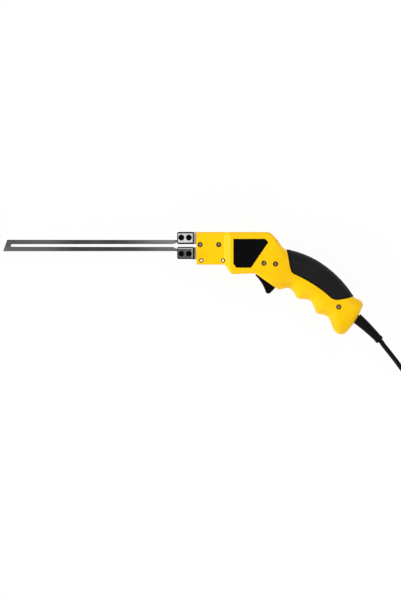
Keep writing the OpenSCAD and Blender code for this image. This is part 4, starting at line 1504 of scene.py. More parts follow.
    def posts(self) -> Array:
        """Distances to the posts inside a shell.

        Returns:
            Distances to the posts of the screws, guides, pin, transformer, switch and cable clamp.
        """
        grid = self.grid
        trigger = Trigger()
        posts = [grid.round_hole(centre, self.screw_post_r) for centre, _ in self.screws]
        posts += [grid.round_hole(centre, self.guide_post_r) for centre in self.guides]
        posts.append(np.maximum(grid.round_hole(trigger.pivot, self.pin_post_r), self.pin_post_from - grid.z))
        low, high = PLACE.tool_box("transformer_core")
        above = high[2] + self.rest_gap - grid.z
        for spots, y in zip(self.core_posts, (high[1] - self.core_inset, low[1] + self.core_inset)):
            posts += [np.maximum(grid.round_hole((x, y), self.core_post_r), above) for x in spots]
        low, high = PLACE.tool_box("switch_body")
        posts.append(grid.block(
            (high[0] + self.rest_x[0], low[1] + self.rest_y[0], high[2] + self.rest_gap),
            (high[0] + self.rest_x[1], low[1] + self.rest_y[1], self.grip_half)))
        posts.append(Boot().clamp_post(grid))
        found = np.maximum(reduce(np.minimum, posts), self.skin + self.wall / 2)
        pin = np.maximum(grid.round_hole(trigger.pivot, trigger.pin_r), grid.z - self.pin_deep)
        return np.maximum(found, -pin)

    def groove_cut(self) -> Array:
        """Distances to the shallow groove on the slope behind the body.

        Returns:
            Distances on the grid.
        """
        grid = self.grid
        start, end = (np.asarray(p) for p in self.groove)
        way = end - start
        dx, dy = grid.x - start[0], grid.y - start[1]
        t = np.clip((dx * way[0] + dy * way[1]) / (way @ way), 0, 1)
        reach = np.sqrt((dx - way[0] * t) ** 2 + (dy - way[1] * t) ** 2) - self.groove_r
        length = np.abs(grid.z - self.groove_z) - self.groove_half
        return np.maximum(np.maximum(reach, length), -(self.skin + self.groove_deep))

    def recesses(self, half: Half) -> Iterator[tuple[Array, float]]:
        """Everything that is cut out of a shell, in order.

        Args:
            half: Which of the two shells.

        Yields:
            Distances to a recess, and the rounding of its edge, or 0 for a sharp one.
        """
        grid = self.grid
        bed = -(self.skin + self.pad_t + self.pad_bed)
        yield np.maximum(grid.outline(self.pad_outline(self.pad_clear)), bed), self.pad_lip
        floor = self.body_half - self.plate_deep - grid.z
        yield np.maximum(grid.outline(SidePlates().outline(self.plate_clear)), floor), self.edge_round
        yield np.maximum(grid.outline(Trigger().slot), np.abs(grid.z) - self.slot_half), self.slot_round
        yield self.groove_cut(), self.edge_round
        for centre in self.guides:
            sink = np.maximum(grid.round_hole(centre, self.sink_r), self.nose_half - self.sink_deep - grid.z)
            yield np.minimum(grid.round_hole(centre, self.guide_r), sink), self.guide_round
        for centre, top in self.screws:
            hole = grid.round_hole(centre, self.pilot_r)
            if half is Half.LEFT:
                well = np.maximum(grid.round_hole(centre, self.well_r), top - self.well_deep - grid.z)
                yield well, self.edge_round
                yield hole, 0.0
            else:
                yield np.maximum(hole, grid.z - CasingScrews().depth_beyond(top)), 0.0
        yield Boot().bore(grid), self.edge_round
        for side in (1, -1):
            high, wide = self.window_half
            window = np.maximum(np.abs(grid.y - side * self.window_y) - high, np.abs(grid.z) - wide)
            yield np.maximum(window, grid.x - self.window_deep), 0.0

    def shell(self, half: Half) -> Array:
        """Distances to one shell, on the upper side of the parting plane.

        Args:
            half: Which of the two shells.

        Returns:
            Signed distances to the shell, as if it were the upper one.
        """
        solid = np.minimum(np.maximum(self.skin, -self.space), self.posts())
        solid = soft_max(solid, self.parting_gap - self.grid.z, self.seam)
        for recess, edge in self.recesses(half):
            solid = soft_max(solid, -recess, edge) if edge > 0 else np.maximum(solid, -recess)
        return solid

    def build_pad(self) -> None:
        """Makes the rubber pad, which runs over the back from one side to the other."""
        grid = Lattice((80.0, -70.0, -24.5), (187.0, 5.0, 24.5))
        outside = self.outside(grid)
        region = grid.outline(self.pad_outline(self.pad_shrink))
        edge = mix(*self.pad_edge, ramp(np.abs(grid.z), *self.pad_edge_ramp))
        crown = mix(self.pad_crown, 0.0, ramp(grid.x, *self.pad_crown_ramp))
        rise = mix(edge, crown, ramp(-region, *self.pad_border))
        skin = np.maximum(outside - rise, -(outside + self.pad_t))
        piece = grid.piece("grip_pad_rubber", soft_max(skin, region, self.pad_round), Look.RUBBER)
        settle(piece, Body.HANDSET, Slot.RUBBER, "grip_pad")

    def build(self) -> None:
        """Makes both shells and the rubber pad."""
        for half, node in ((Half.LEFT, "left_shell"), (Half.RIGHT, "right_shell")):
            piece = self.grid.piece(f"{node}_moulding", self.shell(half), Look.YELLOW, half.value)
            settle(piece, Body.HANDSET, Slot.YELLOW, node)
        self.build_pad()


@dataclass
class CasingScrews:
    """Five cross-recessed screws that hold the two shells together."""

    head_d: float = 5.4
    head_t: float = 2.4
    head_round: float = 0.3
    seat_round: float = 0.1
    sunk: float = 1.0
    dome: float = 1.4
    crown: float = 0.5
    shank_d: float = 2.8
    shank_len: float = 20.0
    shank_from: float = 1.5
    pilot_extra: float = 2.0
    cross_w: float = 0.8
    cross_len: float = 3.2
    cross_deep: float = 1.3
    cross_round: float = 0.2
    turn_rate: float = 17.0
    room: float = 3.4
    room_below: float = 0.6
    fine: float = 0.16
    ease: float = 0.05

    def depth_beyond(self, half: float) -> float:
        """How far the pilot hole reaches past the parting plane, where the casing has that half thickness."""
        return self.shank_len - (half - self.sunk - self.head_t) + self.pilot_extra

    def screw(self, grid: Lattice, turn: float) -> Array:
        """Distances to one screw.

        Args:
            grid: Grid over the screw, with the top of its head at the origin.
            turn: Angle of its cross recess.

        Returns:
            Distances on the grid.
        """
        radius = np.hypot(grid.x, grid.y)
        top = grid.z + self.dome * (radius / (self.head_d / 2)) ** 2
        head = soft_max(radius - self.head_d / 2, top, self.head_round)
        head = soft_max(head, -grid.z - self.head_t, self.seat_round)
        along = grid.x * math.cos(turn) + grid.y * math.sin(turn)
        across = grid.y * math.cos(turn) - grid.x * math.sin(turn)
        arms = [np.maximum(np.abs(a) - self.cross_w / 2, np.abs(b) - self.cross_len / 2)
                for a, b in ((along, across), (across, along))]
        cross = np.maximum(np.minimum(*arms), -grid.z - self.cross_deep)
        ends = np.maximum(grid.z + self.shank_from, -grid.z - (self.head_t + self.shank_len))
        shank = np.maximum(radius - self.shank_d / 2, ends)
        return np.minimum(soft_max(head, -cross, self.cross_round), shank)

    def build(self) -> None:
        """Makes a screw for each well, each turned differently."""
        points, faces = [], []
        low = -self.room_below - self.head_t - self.shank_len
        grid = Lattice((-self.room, -self.room, low), (self.room, self.room, 1.0), self.fine)
        for (x, y), half in Casing().screws:
            found, corners = grid.surface(self.screw(grid, math.radians(self.turn_rate * x)), self.ease)
            faces += [[len(points) + c for c in f] for f in corners]
            points += (found + np.asarray((x, y, half - self.sunk + self.crown))).tolist()
        piece = add_mesh("casing_screw_heads", points, faces, Look.SCREW)
        settle(piece, Body.HANDSET, Slot.BLACK_STEEL, "casing_screws")


@dataclass
class SidePlates:
    """Black plates let into both sides of the body, left bare."""

    corners: tuple = ((42.6, 7.5), (78.6, 7.5), (82.4, 3.9), (62.6, -25.2), (45.8, -25.2), (42.6, -20.8))
    edge: float = 0.25

    def outline(self, grow: float) -> list[Array]:
        """Outline of the plate.

        Args:
            grow: Distance by which it is pushed out all round.

        Returns:
            The corners in order.
        """
        points = np.asarray(self.corners, float)
        found = []
        for before, at, after in zip(np.roll(points, 1, axis=0), points, np.roll(points, -1, axis=0)):
            first, second = unit(at - before), unit(after - at)
            left = np.asarray([(-first[1], first[0]), (-second[1], second[0])])
            found.append(np.linalg.solve(left, (left * at).sum(axis=1) + grow))
        return found

    def build(self) -> None:
        """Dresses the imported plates."""
        dress(Look.PLATE, self.edge, "left_side_plate", "right_side_plate")


@dataclass
class Blade:
    """Flat slotted blade, ground to a slight bevel all round."""

    tip_x: float = -222.35
    clamp_x: float = -22.0
    half_w: float = 6.6
    near_half: float = 6.4
    root_half: float = 6.1
    root_len: float = 1.0
    half_t: float = 0.75
    slot_half: float = 1.45
    near_slot: float = 1.65
    slot_steps: int = 17
    tip_slant: float = 4.6
    tip_land: float = 8.85
    lift: float = 0.2
    lift_gap: float = 0.5
    neck_len: float = 4.6
    tang_in: float = 4.0
    tang_gap: float = 0.1
    tang_out: float = 12.8
    tang_step: float = 1.2
    tang_len: float = 14.5
    bevel: float = 0.5
    bevel_angle: float = 25.0

    def outline(self) -> list[Point]:
        """Corners of the blade, round its slot, from the lower tip.

        Returns:
            The corners in order.
        """
        x, step, end = self.clamp_x, self.clamp_x + self.tang_step, self.clamp_x + self.tang_len
        lower = [(self.tip_x, -self.half_w), (x - self.root_len, -self.near_half), (x, -self.root_half),
                 (step, -self.root_half), (step, -self.tang_out), (end, -self.tang_out), (end, -self.tang_in),
                 (x - self.tang_gap, -self.tang_in), (x - self.neck_len, -self.near_slot)]
        centre = self.tip_x + self.tip_land + self.slot_half
        slot = arc((centre, 0.0), self.slot_half, 270, 90, self.slot_steps)
        upper = [(px, -py) for px, py in reversed(lower[1:])]
        return [*lower, *slot, *upper, (self.tip_x + self.tip_slant, self.half_w)]

    def build(self) -> None:
        """Makes the blade with bevelled edges."""
        outline = self.outline()
        count = len(outline)
        points = [(px, py + self.lift * (px < self.clamp_x - self.lift_gap), z)
                  for z in (-self.half_t, self.half_t) for px, py in outline]
        faces = [tuple(reversed(range(count))), tuple(range(count, 2 * count)), *loft_sides(2, count)]
        piece = add_mesh("blade_ground", points, faces, Look.BLADE)
        piece.data.shade_flat()
        soften(piece, self.bevel, 2, self.bevel_angle)
        settle(piece, Body.BLADE, Slot.BLADE, "blade")


@dataclass
class Trigger:
    """Black trigger with a rounded finger face, its arm to the switch and its hub."""

    front: tuple = ((67.8, -34.1), (75.2, -41.4), (79.2, -51.7))
    front_steps: int = 24
    tip: Point = (82.7, -51.7)
    tip_r: float = 3.5
    tip_turn: Span = (190.0, 330.0)
    tip_steps: int = 20
    rear: tuple = ((87.2, -52.2), (90.6, -48.4), (92.0, -44.6), (92.0, -32.0))
    head: tuple = ((72.6, -33.0), (67.8, -33.0))
    arm: tuple = ((91.0, -44.6), (110.5, -44.6), (110.5, -42.0), (103.0, -42.0), (103.0, -32.0),
                  (91.0, -32.0))
    slot: tuple = ((67.2, -29.0), (67.2, -41.0), (78.0, -60.0), (95.4, -60.0), (95.4, -44.0), (88.0, -34.0))
    pivot: Point = (77.0, -32.0)
    half_w: float = 6.0
    side_gap: float = 0.02
    arm_half: float = 3.4
    hub_r: float = 3.6
    pin_r: float = 1.55
    face_round: float = 1.3
    arm_round: float = 0.6
    hub_round: float = 0.5
    arm_join: float = 0.8
    fine: float = 0.25

    def outline(self) -> list[Any]:
        """Outline of the finger face and the part that reaches into the casing."""
        tip = arc(self.tip, self.tip_r, *self.tip_turn, self.tip_steps)
        return [*curve(self.front, self.front_steps), *tip, *self.rear, self.pivot, *self.head]

    def build(self) -> None:
        """Makes the trigger in one moulding."""
        grid = Lattice((66.0, -57.0, -8.0), (113.0, -26.0, 8.0), self.fine)
        sides = np.abs(grid.z) - self.half_w + self.side_gap
        finger = soft_max(grid.outline(self.outline()), sides, self.face_round)
        arm = soft_max(grid.outline(self.arm), np.abs(grid.z) - self.arm_half, self.arm_round)
        hub = soft_max(grid.round_hole(self.pivot, self.hub_r), sides, self.hub_round)
        solid = np.minimum(soft_min(finger, arm, self.arm_join), hub)
        solid = np.maximum(solid, -grid.round_hole(self.pivot, self.pin_r))
        piece = grid.piece("trigger_moulding", solid, Look.TRIGGER)
        settle(piece, Body.TRIGGER, Slot.BLACK, "trigger")


@dataclass
class TriggerSpring:
    """Return spring between the switch and the arm of the trigger."""

    x: float = 107.0
    seat_y: float = -42.0
    top_y: float = -26.0
    outer_d: float = 6.0
    wire: float = 0.8
    wire_sides: int = 10
    turns: int = 6
    turn_steps: int = 24
    gap: float = 0.1
    squashed: float = 0.632

    def build(self) -> None:
        """Makes the wound wire."""
        shares = np.linspace(0, 1, self.turn_steps * self.turns + 1)
        angle = math.tau * self.turns * shares
        radius = (self.outer_d - self.wire) / 2
        length = self.top_y - self.seat_y - 2 * self.gap - self.wire
        y = self.seat_y + self.gap + self.wire / 2 + length * shares
        line = np.column_stack([self.x + radius * np.cos(angle), y, radius * np.sin(angle)])
        piece = tube("return_spring", line, [self.wire / 2] * len(line), self.wire_sides, Look.PLATED)
        settle(piece, Body.HANDSET, Slot.PLATED, "trigger_spring")
        anchor = PLACE.row((self.x, self.top_y, 0))
        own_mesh(piece)


@dataclass
class Boot:
    """Tapered rubber strain relief with a collar at its end."""

    route: tuple = ((184.3, -83.4, 0.0), (197.6, -94.5, -0.4), (211.3, -109.2, -1.6))
    start_d: float = 13.0
    end_d: float = 9.2
    collar_d: float = 9.9
    collar_share: float = 0.9
    collar_ramp: Ramp = (-0.012, 0.024)
    end_ramp: Ramp = (0.975, 0.025)
    end_round: float = 0.7
    inside: tuple = ((9.1, 6.0), (8.8, 6.5), (6.9, 6.5), (6.7, 4.5), (-0.3, 4.5))
    lip: tuple = (0.0112, 0.5)
    outside: tuple = ((0.012, 0.88, 44), (0.885, 0.915, 10), (0.92, 0.97, 4), (0.975, 1.0, 6))
    sides: int = 40
    edge: float = 0.15
    edge_angle: float = 60.0
    neck_d: float = 9.0
    neck_gap: float = 0.15
    neck_half: float = 20.0
    post_at: Point = (-13.5, -1.25)
    post_half: Point = (3.5, 3.75)
    post_from: float = 5.0

    @property
    def way(self) -> Array:
        """Direction in which the boot leaves the butt."""
        return unit(np.asarray(self.route[1]) - np.asarray(self.route[0]))

    def axes(self, grid: Lattice) -> tuple[Array, Array]:
        """Distances along and across the boot's first stretch.

        Args:
            grid: The grid to work them out on.

        Returns:
            The distances along it and those across it.
        """
        way = self.way
        dx, dy = grid.x - self.route[0][0], grid.y - self.route[0][1]
        return dx * way[0] + dy * way[1], dy * way[0] - dx * way[1]

    def bore(self, grid: Lattice) -> Array:
        """Distances to the hole in the butt that holds the neck."""
        along, across = self.axes(grid)
        wall = np.hypot(across, grid.z) - self.neck_d / 2 - self.neck_gap
        return np.maximum(wall, np.abs(along) - self.neck_half)

    def clamp_post(self, grid: Lattice) -> Array:
        """Distances to the post in the butt that the cable clamp is screwed to."""
        sides = [np.abs(v - at) - half for v, at, half in zip(self.axes(grid), self.post_at, self.post_half)]
        return np.maximum(np.maximum(*sides), self.post_from - grid.z)

    def radius(self, t: float) -> float:
        """Radius of the boot, with rounded steps at the collar.

        Args:
            t: Share of its length.

        Returns:
            The radius.
        """
        taper = mix(self.start_d, self.end_d, t / self.collar_share) / 2
        collar = ramp(t - self.collar_share, *self.collar_ramp)
        return mix(taper, self.collar_d / 2, collar) - self.end_round * ramp(t, *self.end_ramp)

    def build(self) -> Piece:
        """Makes the boot as one swept moulding.

        Returns:
            The boot.
        """
        first, way = np.asarray(self.route[0]), self.way
        rings = [(first - way * back, r) for back, r in self.inside]
        rings.append((bezier(self.route, self.lip[0]), self.start_d / 2 - self.lip[1]))
        for stretch in self.outside:
            rings += [(bezier(self.route, t), self.radius(t)) for t in np.linspace(*stretch)]
        line, radii = zip(*rings)
        piece = tube("strain_relief_boot", line, radii, self.sides, Look.BOOT)
        soften(piece, self.edge, 1, self.edge_angle)
        return settle(piece, Body.HANDSET, Slot.CORD, "strain_relief")


@dataclass
class Plug:
    """Two-pin mains plug with a ribbed grip."""

    start: Triple
    sleeve: float = 14.0
    sleeve_d: float = 8.2
    sleeve_in: float = 4.0
    sleeve_land: float = 1.0
    width: float = 34.0
    length: float = 36.0
    thick: float = 14.0
    neck: float = 7.0
    slope: float = 10.0
    corner: float = 5.0
    body_round: float = 3.5
    join: float = 1.6
    ribs: int = 6
    rib_from: float = 13.0
    rib_pitch: float = 2.6
    rib_out: float = 0.35
    rib_r: float = 1.0
    rib_round: float = 0.5
    rings: int = 4
    ring_from: float = 2.4
    ring_pitch: float = 3.0
    ring_half: float = 0.6
    ring_deep: float = 0.7
    ring_round: float = 0.3
    room: float = 2.0
    fine: float = 0.5

    def grip(self, grid: Lattice) -> Array:
        """Distances to the flat body with its grooves.

        Args:
            grid: Grid over the plug.

        Returns:
            Distances on the grid.
        """
        cx, cy, cz = self.start
        base, end, half = cy + self.sleeve, cy + self.sleeve + self.length, self.width / 2
        right = [(self.neck, base), (half, base + self.slope), (half, end - self.corner),
                 (half - self.corner, end)]
        outline = [*((cx + w, y) for w, y in right), *((cx - w, y) for w, y in reversed(right))]
        body = soft_max(grid.outline(outline), np.abs(grid.z - cz) - self.thick / 2, self.body_round)
        for i in range(self.ribs):
            up = grid.y - base - self.rib_from - self.rib_pitch * i
            groove = np.hypot(up, np.abs(grid.x - cx) - half - self.rib_out) - self.rib_r
            body = soft_max(body, -groove, self.rib_round)
        return body

    def cone(self, grid: Lattice) -> Array:
        """Distances to the ringed sleeve round the cord.

        Args:
            grid: Grid over the plug.

        Returns:
            Distances on the grid.
        """
        cx, cy, cz = self.start
        share = np.clip((grid.y - cy) / self.sleeve, 0, 1)
        radius = mix(self.sleeve_d / 2, self.thick / 2 - self.sleeve_land, share)
        cone = np.hypot(grid.x - cx, grid.z - cz) - radius
        for i in range(self.rings):
            ring = np.abs(grid.y - cy - self.ring_from - self.ring_pitch * i) - self.ring_half
            cone = soft_max(cone, -np.maximum(ring, -(cone + self.ring_deep)), self.ring_round)
        return np.maximum(cone, band(grid.y, (cy, cy + self.sleeve + self.sleeve_in)))

    def build(self) -> list[Piece]:
        """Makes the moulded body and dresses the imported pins.

        Returns:
            The body and the pins.
        """
        cx, cy, cz = self.start
        wide, deep = self.width / 2 + self.room, self.thick / 2 + self.room
        top = cy + self.sleeve + self.length + self.room
        grid = Lattice((cx - wide, cy - self.room, cz - deep), (cx + wide, top, cz + deep), self.fine)
        piece = grid.piece("plug_moulding", soft_min(self.grip(grid), self.cone(grid), self.join), Look.PLUG)
        settle(piece, Body.HANDSET, Slot.CORD, "plug_body")
        dress(Look.PLATED, 0.0, "plug_pins")
        return [piece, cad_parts["plug_pins"]]


@dataclass
class CoilTie:
    """Flat strap that holds the coil together, standing across it."""

    centre: Point
    near: float
    far: float
    low: float
    high: float
    thick: float
    width: float
    corner: float = 2.2
    corner_steps: int = 9
    edge: float = 0.2
    edge_angle: float = 40.0

    def loop(self, inset: float) -> list[Point]:
        """Rounded loop round the coil, in distance from its centre and height.

        Args:
            inset: Distance by which it is drawn in from the outside of the strap.

        Returns:
            The corners in order.
        """
        low, top = self.low + inset, self.high + self.thick - inset
        left, right = self.near - self.thick + inset, self.far + self.thick - inset
        r = self.corner - inset
        centres = ((right - r, top - r), (left + r, top - r), (left + r, low + r), (right - r, low + r))
        turns = [arc(at, r, 90 * i, 90 * i + 90, self.corner_steps) for i, at in enumerate(centres)]
        return [point for turn in turns for point in turn]

    def build(self) -> Piece:
        """Makes the strap.

        Returns:
            The strap.
        """
        outer, inner = self.loop(0.0), self.loop(self.thick)
        count = len(outer)
        points = [(self.centre[0] + w, self.centre[1] + r, z)
                  for w in (-self.width / 2, self.width / 2) for loop in (outer, inner) for r, z in loop]
        faces = []
        for i in range(count):
            k = (i + 1) % count
            faces.append((i, 2 * count + i, 2 * count + k, k))
            faces.append((count + i, count + k, 3 * count + k, 3 * count + i))
            faces.append((i, k, count + k, count + i))
            faces.append((2 * count + i, 3 * count + i, 3 * count + k, 2 * count + k))
        piece = add_mesh("coil_tie_strap", points, faces, Look.TIE)
        soften(piece, self.edge, 2, self.edge_angle)
        return settle(piece, Body.HANDSET, Slot.CORD, "cord_tie")


@dataclass
class MainsCord:
    """Free mains cord: it sags from the boot to the table, and the rest lies in a tied coil with the plug."""

    diameter: float = 5.2
    sheath_gain: float = 0.3
    sheath_rounds: int = 4
    route: tuple = ((215.3, -114.4, -3.2), (219.9, -120.1, -6.0), (224.6, -126.0, -8.4),
                    (229.2, -131.8, -10.8), (235.5, -140.2, -13.8), (242.3, -148.6, -16.5))
    route_steps: int = 4
    coil_centre: Point = (292.0, -138.5)
    coil_start: float = 216.0
    coil_turns: float = 4.2
    inner_r: float = 21.0
    coil_space: float = 0.5
    turn_steps: int = 48
    table_z: float = -22.0
    tie_t: float = 0.8
    tie_w: float = 12.0
    tie_turn: float = 450.0
    tie_slack: Point = (0.4, 0.2)
    seat_gap: float = 0.1
    plug_t: float = 14.0
    plug_gap: Point = (1.0, 34.0)
    tail_lift: float = 0.4
    length_m: float = 1.85

    @property
    def pitch(self) -> float:
        """Distance from one turn of the coil to the next."""
        return self.diameter + self.coil_space

    @property
    def low(self) -> float:
        """Height of the cord's middle in the lower layer of the coil."""
        return self.table_z + self.diameter / 2 + self.tie_t + 2 * self.seat_gap

    def coil(self) -> Array:
        """Line of the coil: in along the lower layer and out along the upper one.

        Returns:
            The points of the line.
        """
        half = 360 * self.coil_turns
        f = np.linspace(0, 2 * half, round(self.turn_steps * 2 * self.coil_turns) + 1)
        radius = self.inner_r + self.pitch * np.abs(f - half) / 360
        turn = np.radians(self.coil_start + f)
        return np.column_stack([self.coil_centre[0] + radius * np.cos(turn),
                                self.coil_centre[1] + radius * np.sin(turn),
                                self.low + self.pitch * ramp(f - half, -90, 180)])

    def line(self) -> tuple[Array, Array]:
        """The whole line of the cord.

        Returns:
            Its points from the boot to the plug, and the place where the plug begins.
        """
        coil = self.coil()
        way_in, way_out = unit(coil[1] - coil[0]), unit(coil[-1] - coil[-2])
        first, last = coil[0] - way_in * self.diameter, coil[-1] + way_out * self.diameter
        boot = [np.asarray(p) for p in Boot().route[1:]]
        start = boot[1] + unit(boot[1] - boot[0]) * self.diameter / 2
        run = [boot[1], start, *self.route, first - way_in * self.diameter, first]
        gap_x, gap_y = self.plug_gap
        plug = np.asarray((last[0] + gap_x, last[1] + gap_y, self.table_z + self.plug_t / 2))
        lifted = (last + plug) / 2 + np.asarray((0, 0, self.tail_lift))
        tail = [last, last + way_out * self.diameter, lifted, plug - np.asarray((0, self.diameter, 0)), plug]
        run, tail = (smooth_line(stretch, self.route_steps) for stretch in (run, tail))
        return np.vstack([run, coil, tail]), plug

    def sheath(self, points: Array) -> Piece:
        """Makes the cord as a round curve.

        Args:
            points: Its line, in metres of the frame.

        Returns:
            The cord.
        """
        data = bpy.data.curves.new("mains_cord", "CURVE")
        data.dimensions = "3D"
        data.bevel_depth = (self.diameter + self.sheath_gain) / 2 * MM
        data.bevel_resolution = self.sheath_rounds
        data.use_fill_caps = True
        spline = data.splines.new("POLY")
        spline.points.add(len(points) - 1)
        spline.points.foreach_set("co", np.column_stack([points, np.ones(len(points))]).ravel())
        data.materials.append(Look.CORD.material)
        return settle(link("mains_cord", data), Body.HANDSET, Slot.CORD, "cord_run", "cord_coil", "cord_tail")

    def tie(self) -> CoilTie:
        """The strap round both layers of the coil, sized to them.

        Returns:
            The strap, not yet made.
        """
        half = self.diameter / 2
        near = math.sqrt((self.inner_r - half) ** 2 - (self.tie_w / 2) ** 2) - 2 * self.seat_gap
        turned = abs(self.tie_turn - self.coil_start - 360 * self.coil_turns)
        far = self.inner_r + self.pitch * turned / 360 + half + self.tie_slack[0]
        high = self.low + self.pitch + half + self.tie_slack[1]
        return CoilTie(self.coil_centre, near, far, self.table_z, high, self.tie_t, self.tie_w)

    def build(self) -> None:
        line, plug = self.line()
        points = PLACE.row(line)
        cord = self.sheath(points)
        pieces = [Boot().build(), self.tie().build(), *Plug(tuple(plug)).build()]


@dataclass
class ClampHead:
    """Two clamp blocks with their socket screws, pressed fibre gaskets and backing plates."""

    gasket_room: tuple = ((-5.4, -1.0), (1.0, 16.4), 8.4)
    gasket_fine: float = 0.22
    gasket_back: float = -2.0
    gasket_y: Span = (1.7, 15.6)
    gasket_half: float = 7.6
    gasket_round: float = 0.8
    window_y: Span = (5.8, 13.0)
    window_half: float = 1.6
    front_r: float = 1.8
    rear_r: float = 0.5
    chamfer: float = 1.2
    chamfer_past: float = 4.0
    front_gain: float = 0.25
    side_gain: float = 0.2
    rise: float = 0.2
    slot_y: Span = (3.8, 13.0)
    slot_half: float = 0.9
    slot_len: float = 14.7
    hole_r: float = 3.2
    room: float = 1.0
    fine: float = 0.2
    edge: float = 0.2

    def block(self, look: Look, side: int, node: str, cut: float, *screws: str) -> None:
        """Makes one clamp block with rounded front corners and chamfers on its three free sides.

        Args:
            look: Its finish.
            side: 1 above the axis of the blade and -1 below it.
            node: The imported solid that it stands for.
            cut: Chamfer along its two long sides.
            screws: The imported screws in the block.
        """
        low, high = PLACE.tool_box(node)
        grid = Lattice(tuple(low - self.room), tuple(high + self.room), self.fine)
        front, rear = low[0] - self.front_gain, high[0]
        middle, half = (low[1] + high[1]) / 2 + self.rise, (high[1] - low[1]) / 2 + self.side_gain
        height = np.abs(grid.z) - high[2]
        solid = np.maximum(grid.rounded((front, rear), (middle, half), self.front_r, self.rear_r), height)
        inset = grid.rounded((front, rear + self.chamfer_past), (middle, half - cut + self.chamfer),
                             self.front_r, self.rear_r)
        solid = np.maximum(solid, (inset + height + self.chamfer) * math.sqrt(0.5))
        y_low, y_high = sorted(side * y for y in self.slot_y)
        slot = grid.block((front - self.room, y_low, -self.slot_half),
                          (low[0] + self.slot_len, y_high, self.slot_half))
        solid = np.maximum(solid, -slot)
        for screw in screws:
            hole = grid.round_hole(sum(PLACE.tool_box(screw))[:2] / 2, self.hole_r)
            solid = np.maximum(solid, -np.maximum(hole, -grid.z))
        settle(grid.piece(f"{node}_block", solid, look), Body.HANDSET, Slot.BRIGHT, node)

    def gasket(self, look: Look, side: int, node: str, front: float) -> None:
        """Makes one gasket, squeezed out a little round its edge.

        Args:
            look: Its finish.
            side: 1 above the axis of the blade and -1 below it.
            node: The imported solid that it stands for.
            front: How far forward it is squeezed out.
        """
        x_room, y_room, z_room = self.gasket_room
        y_low, y_high = sorted(side * y for y in y_room)
        grid = Lattice((x_room[0], y_low, -z_room), (x_room[1], y_high, z_room), self.gasket_fine)
        y = grid.y * side
        face = np.maximum(band(y, self.gasket_y), np.abs(grid.z) - self.gasket_half)
        window = np.maximum(band(y, self.window_y), np.abs(grid.z) - self.window_half)
        solid = soft_max(band(grid.x, (front, self.gasket_back)), face, self.gasket_round)
        piece = grid.piece(f"{node}_fibre", np.maximum(solid, -window), look)
        settle(piece, Body.HANDSET, Slot.INSULATION, node)

    def build(self) -> None:
        """Makes the gaskets and the blocks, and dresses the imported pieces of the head."""
        upper, lower = (("upper_front_screw", "upper_rear_screw"), ("lower_front_screw", "lower_rear_screw"))
        self.gasket(Look.FACED_GASKET, 1, "upper_gasket", -4.75)
        self.gasket(Look.GASKET, -1, "lower_gasket", -4.4)
        self.block(Look.BLOCK, 1, "upper_clamp", 1.9, *upper)
        self.block(Look.DARK_BLOCK, -1, "lower_clamp", 1.4, *lower)
        dress(Look.BLACK_STEEL, self.edge, *upper, *lower)
        dress(Look.ALLOY, self.edge, "upper_plate", "lower_plate")


@dataclass
class InnerWorks:
    """Transformer, switch and wiring inside the casing, each finish with its edge and its pieces."""

    coats: tuple = (
        (Look.COPPER, 0.2, "upper_busbar", "lower_busbar", "secondary_loop"),
        (Look.BOARD, 0.2, "nose_insulator"),
        (Look.CORE, 0.15, "transformer_core"),
        (Look.WHITE, 0.15, "coil_former", "cable_clamp"),
        (Look.WINDING, 0.8, "primary_winding"),
        (Look.PLATED, 0.1, "trigger_pin", "cable_clamp_screws"),
        (Look.GREY, 0.4, "switch_body"),
        (Look.RED, 0.0, "switch_plunger"),
        (Look.CORD, 0.0, "inner_cord", "switch_lead"),
        (Look.BROWN, 0.0, "live_lead"),
        (Look.BLUE, 0.0, "neutral_lead"),
    )

    def build(self) -> None:
        """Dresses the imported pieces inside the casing."""
        for look, edge_mm, *nodes in self.coats:
            dress(look, edge_mm, *nodes)


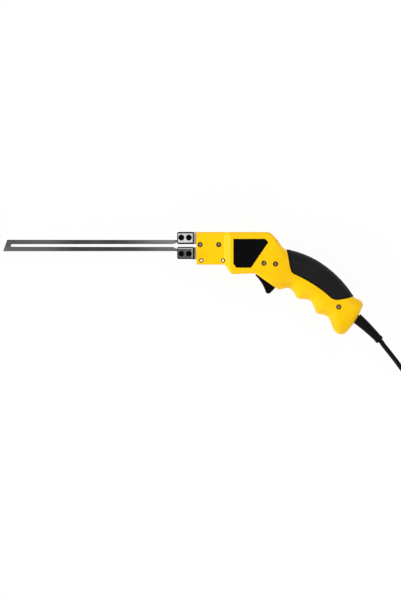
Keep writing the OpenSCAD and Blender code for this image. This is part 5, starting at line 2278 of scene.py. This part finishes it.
@dataclass
class Studio:
    """Camera over the lying tool, pale floor and soft lamps, in metres."""

    view_centre: Point = (0.0201, -0.0201)
    view_plane: float = 0.022
    distance: float = 7.68
    lens: float = 400.0
    sensor: float = 36.0
    floor_size: float = 240.0
    floor_z: float = -0.0003
    floor_colour: Colour = (0.92, 0.92, 0.92)
    floor_rough: float = 0.9
    floor_white: float = 0.95
    world_level: float = 0.45
    lamps: tuple = (
        ("key", (0.55, 0.85, 1.3), 0.5, 10.0),
        ("left", (-1.3, 0.0, 0.34), 0.6, 12.0),
        ("low", (0.15, -1.1, 0.9), 0.8, 7.0),
    )

    def build_camera(self) -> None:
        """Sets the camera straight above the tool."""
        data = bpy.data.cameras.new("camera")
        data.lens = self.lens
        data.sensor_width = self.sensor
        camera = link("camera", data)
        camera.location = (*self.view_centre, self.view_plane + self.distance)
        bpy.context.scene.camera = camera

    def build_floor(self) -> None:
        """Makes the pale floor, which keeps the tool's shadow."""
        half = self.floor_size / 2
        mesh = bpy.data.meshes.new("floor")
        corners = [(x * half, y * half, self.floor_z) for x, y in ((-1, -1), (1, -1), (1, 1), (-1, 1))]
        mesh.from_pydata(corners, [], [(0, 1, 2, 3)])
        shader = Shader("floor_pale")
        shader.put("Base Color", opaque(self.floor_colour))
        shader.put("Roughness", self.floor_rough)
        shader.put("Specular IOR Level", 0.0)
        glow = shader.add("ShaderNodeEmission", None, {"Color": (1, 1, 1, 1), "Strength": 1.0})
        seen = shader.ray("Camera", "Glossy", "Transmission") * self.floor_white
        sockets = {0: seen, 1: shader.surface.outputs[0], 2: glow.outputs[0]}
        shader.feed(shader.output, "Surface", shader.add("ShaderNodeMixShader", None, sockets).outputs[0])
        mesh.materials.append(shader.material)
        link("floor", mesh)

    def build_world(self) -> None:
        """Sets the world's even light and its white backdrop."""
        world = bpy.data.worlds.new("studio")
        nodes = Nodes(world)
        light, backdrop = (nodes.add("ShaderNodeBackground", None, {"Color": (1, 1, 1, 1), "Strength": level})
                           for level in (self.world_level, 1.0))
        sockets = {0: nodes.ray("Camera"), 1: light.outputs[0], 2: backdrop.outputs[0]}
        mixed = nodes.add("ShaderNodeMixShader", None, sockets)
        nodes.add("ShaderNodeOutputWorld", None, {"Surface": mixed.outputs[0]})
        bpy.context.scene.world = world

    def build_lamps(self) -> None:
        """Hangs the soft lamps, each turned to the tool."""
        for name, spot, size, power in self.lamps:
            data = bpy.data.lights.new(name, "AREA")
            data.shape = "DISK"
            data.size = size
            data.energy = power
            lamp = link(name, data)
            lamp.location = spot
            lamp.rotation_euler = (-Vector(spot)).to_track_quat("-Z", "Y").to_euler()

    def build(self) -> None:
        """Makes floor, world and lamps, and sets the plain view transform."""
        self.build_floor()
        self.build_world()
        self.build_lamps()
        bpy.context.scene.view_settings.view_transform = "Standard"


def main() -> None:
    """Builds the tool piece by piece."""
    logging.basicConfig(level=logging.INFO, format="%(message)s")
    studio = Studio()
    studio.build_camera()
    parts = (MainsCord, Casing, CasingScrews, SidePlates, Blade, ClampHead, Trigger, TriggerSpring,
             InnerWorks)
    for part in parts:
        LOG.info("building %s", part.__name__)
        part().build()
    studio.build()


if __name__ == "__main__":
    main()
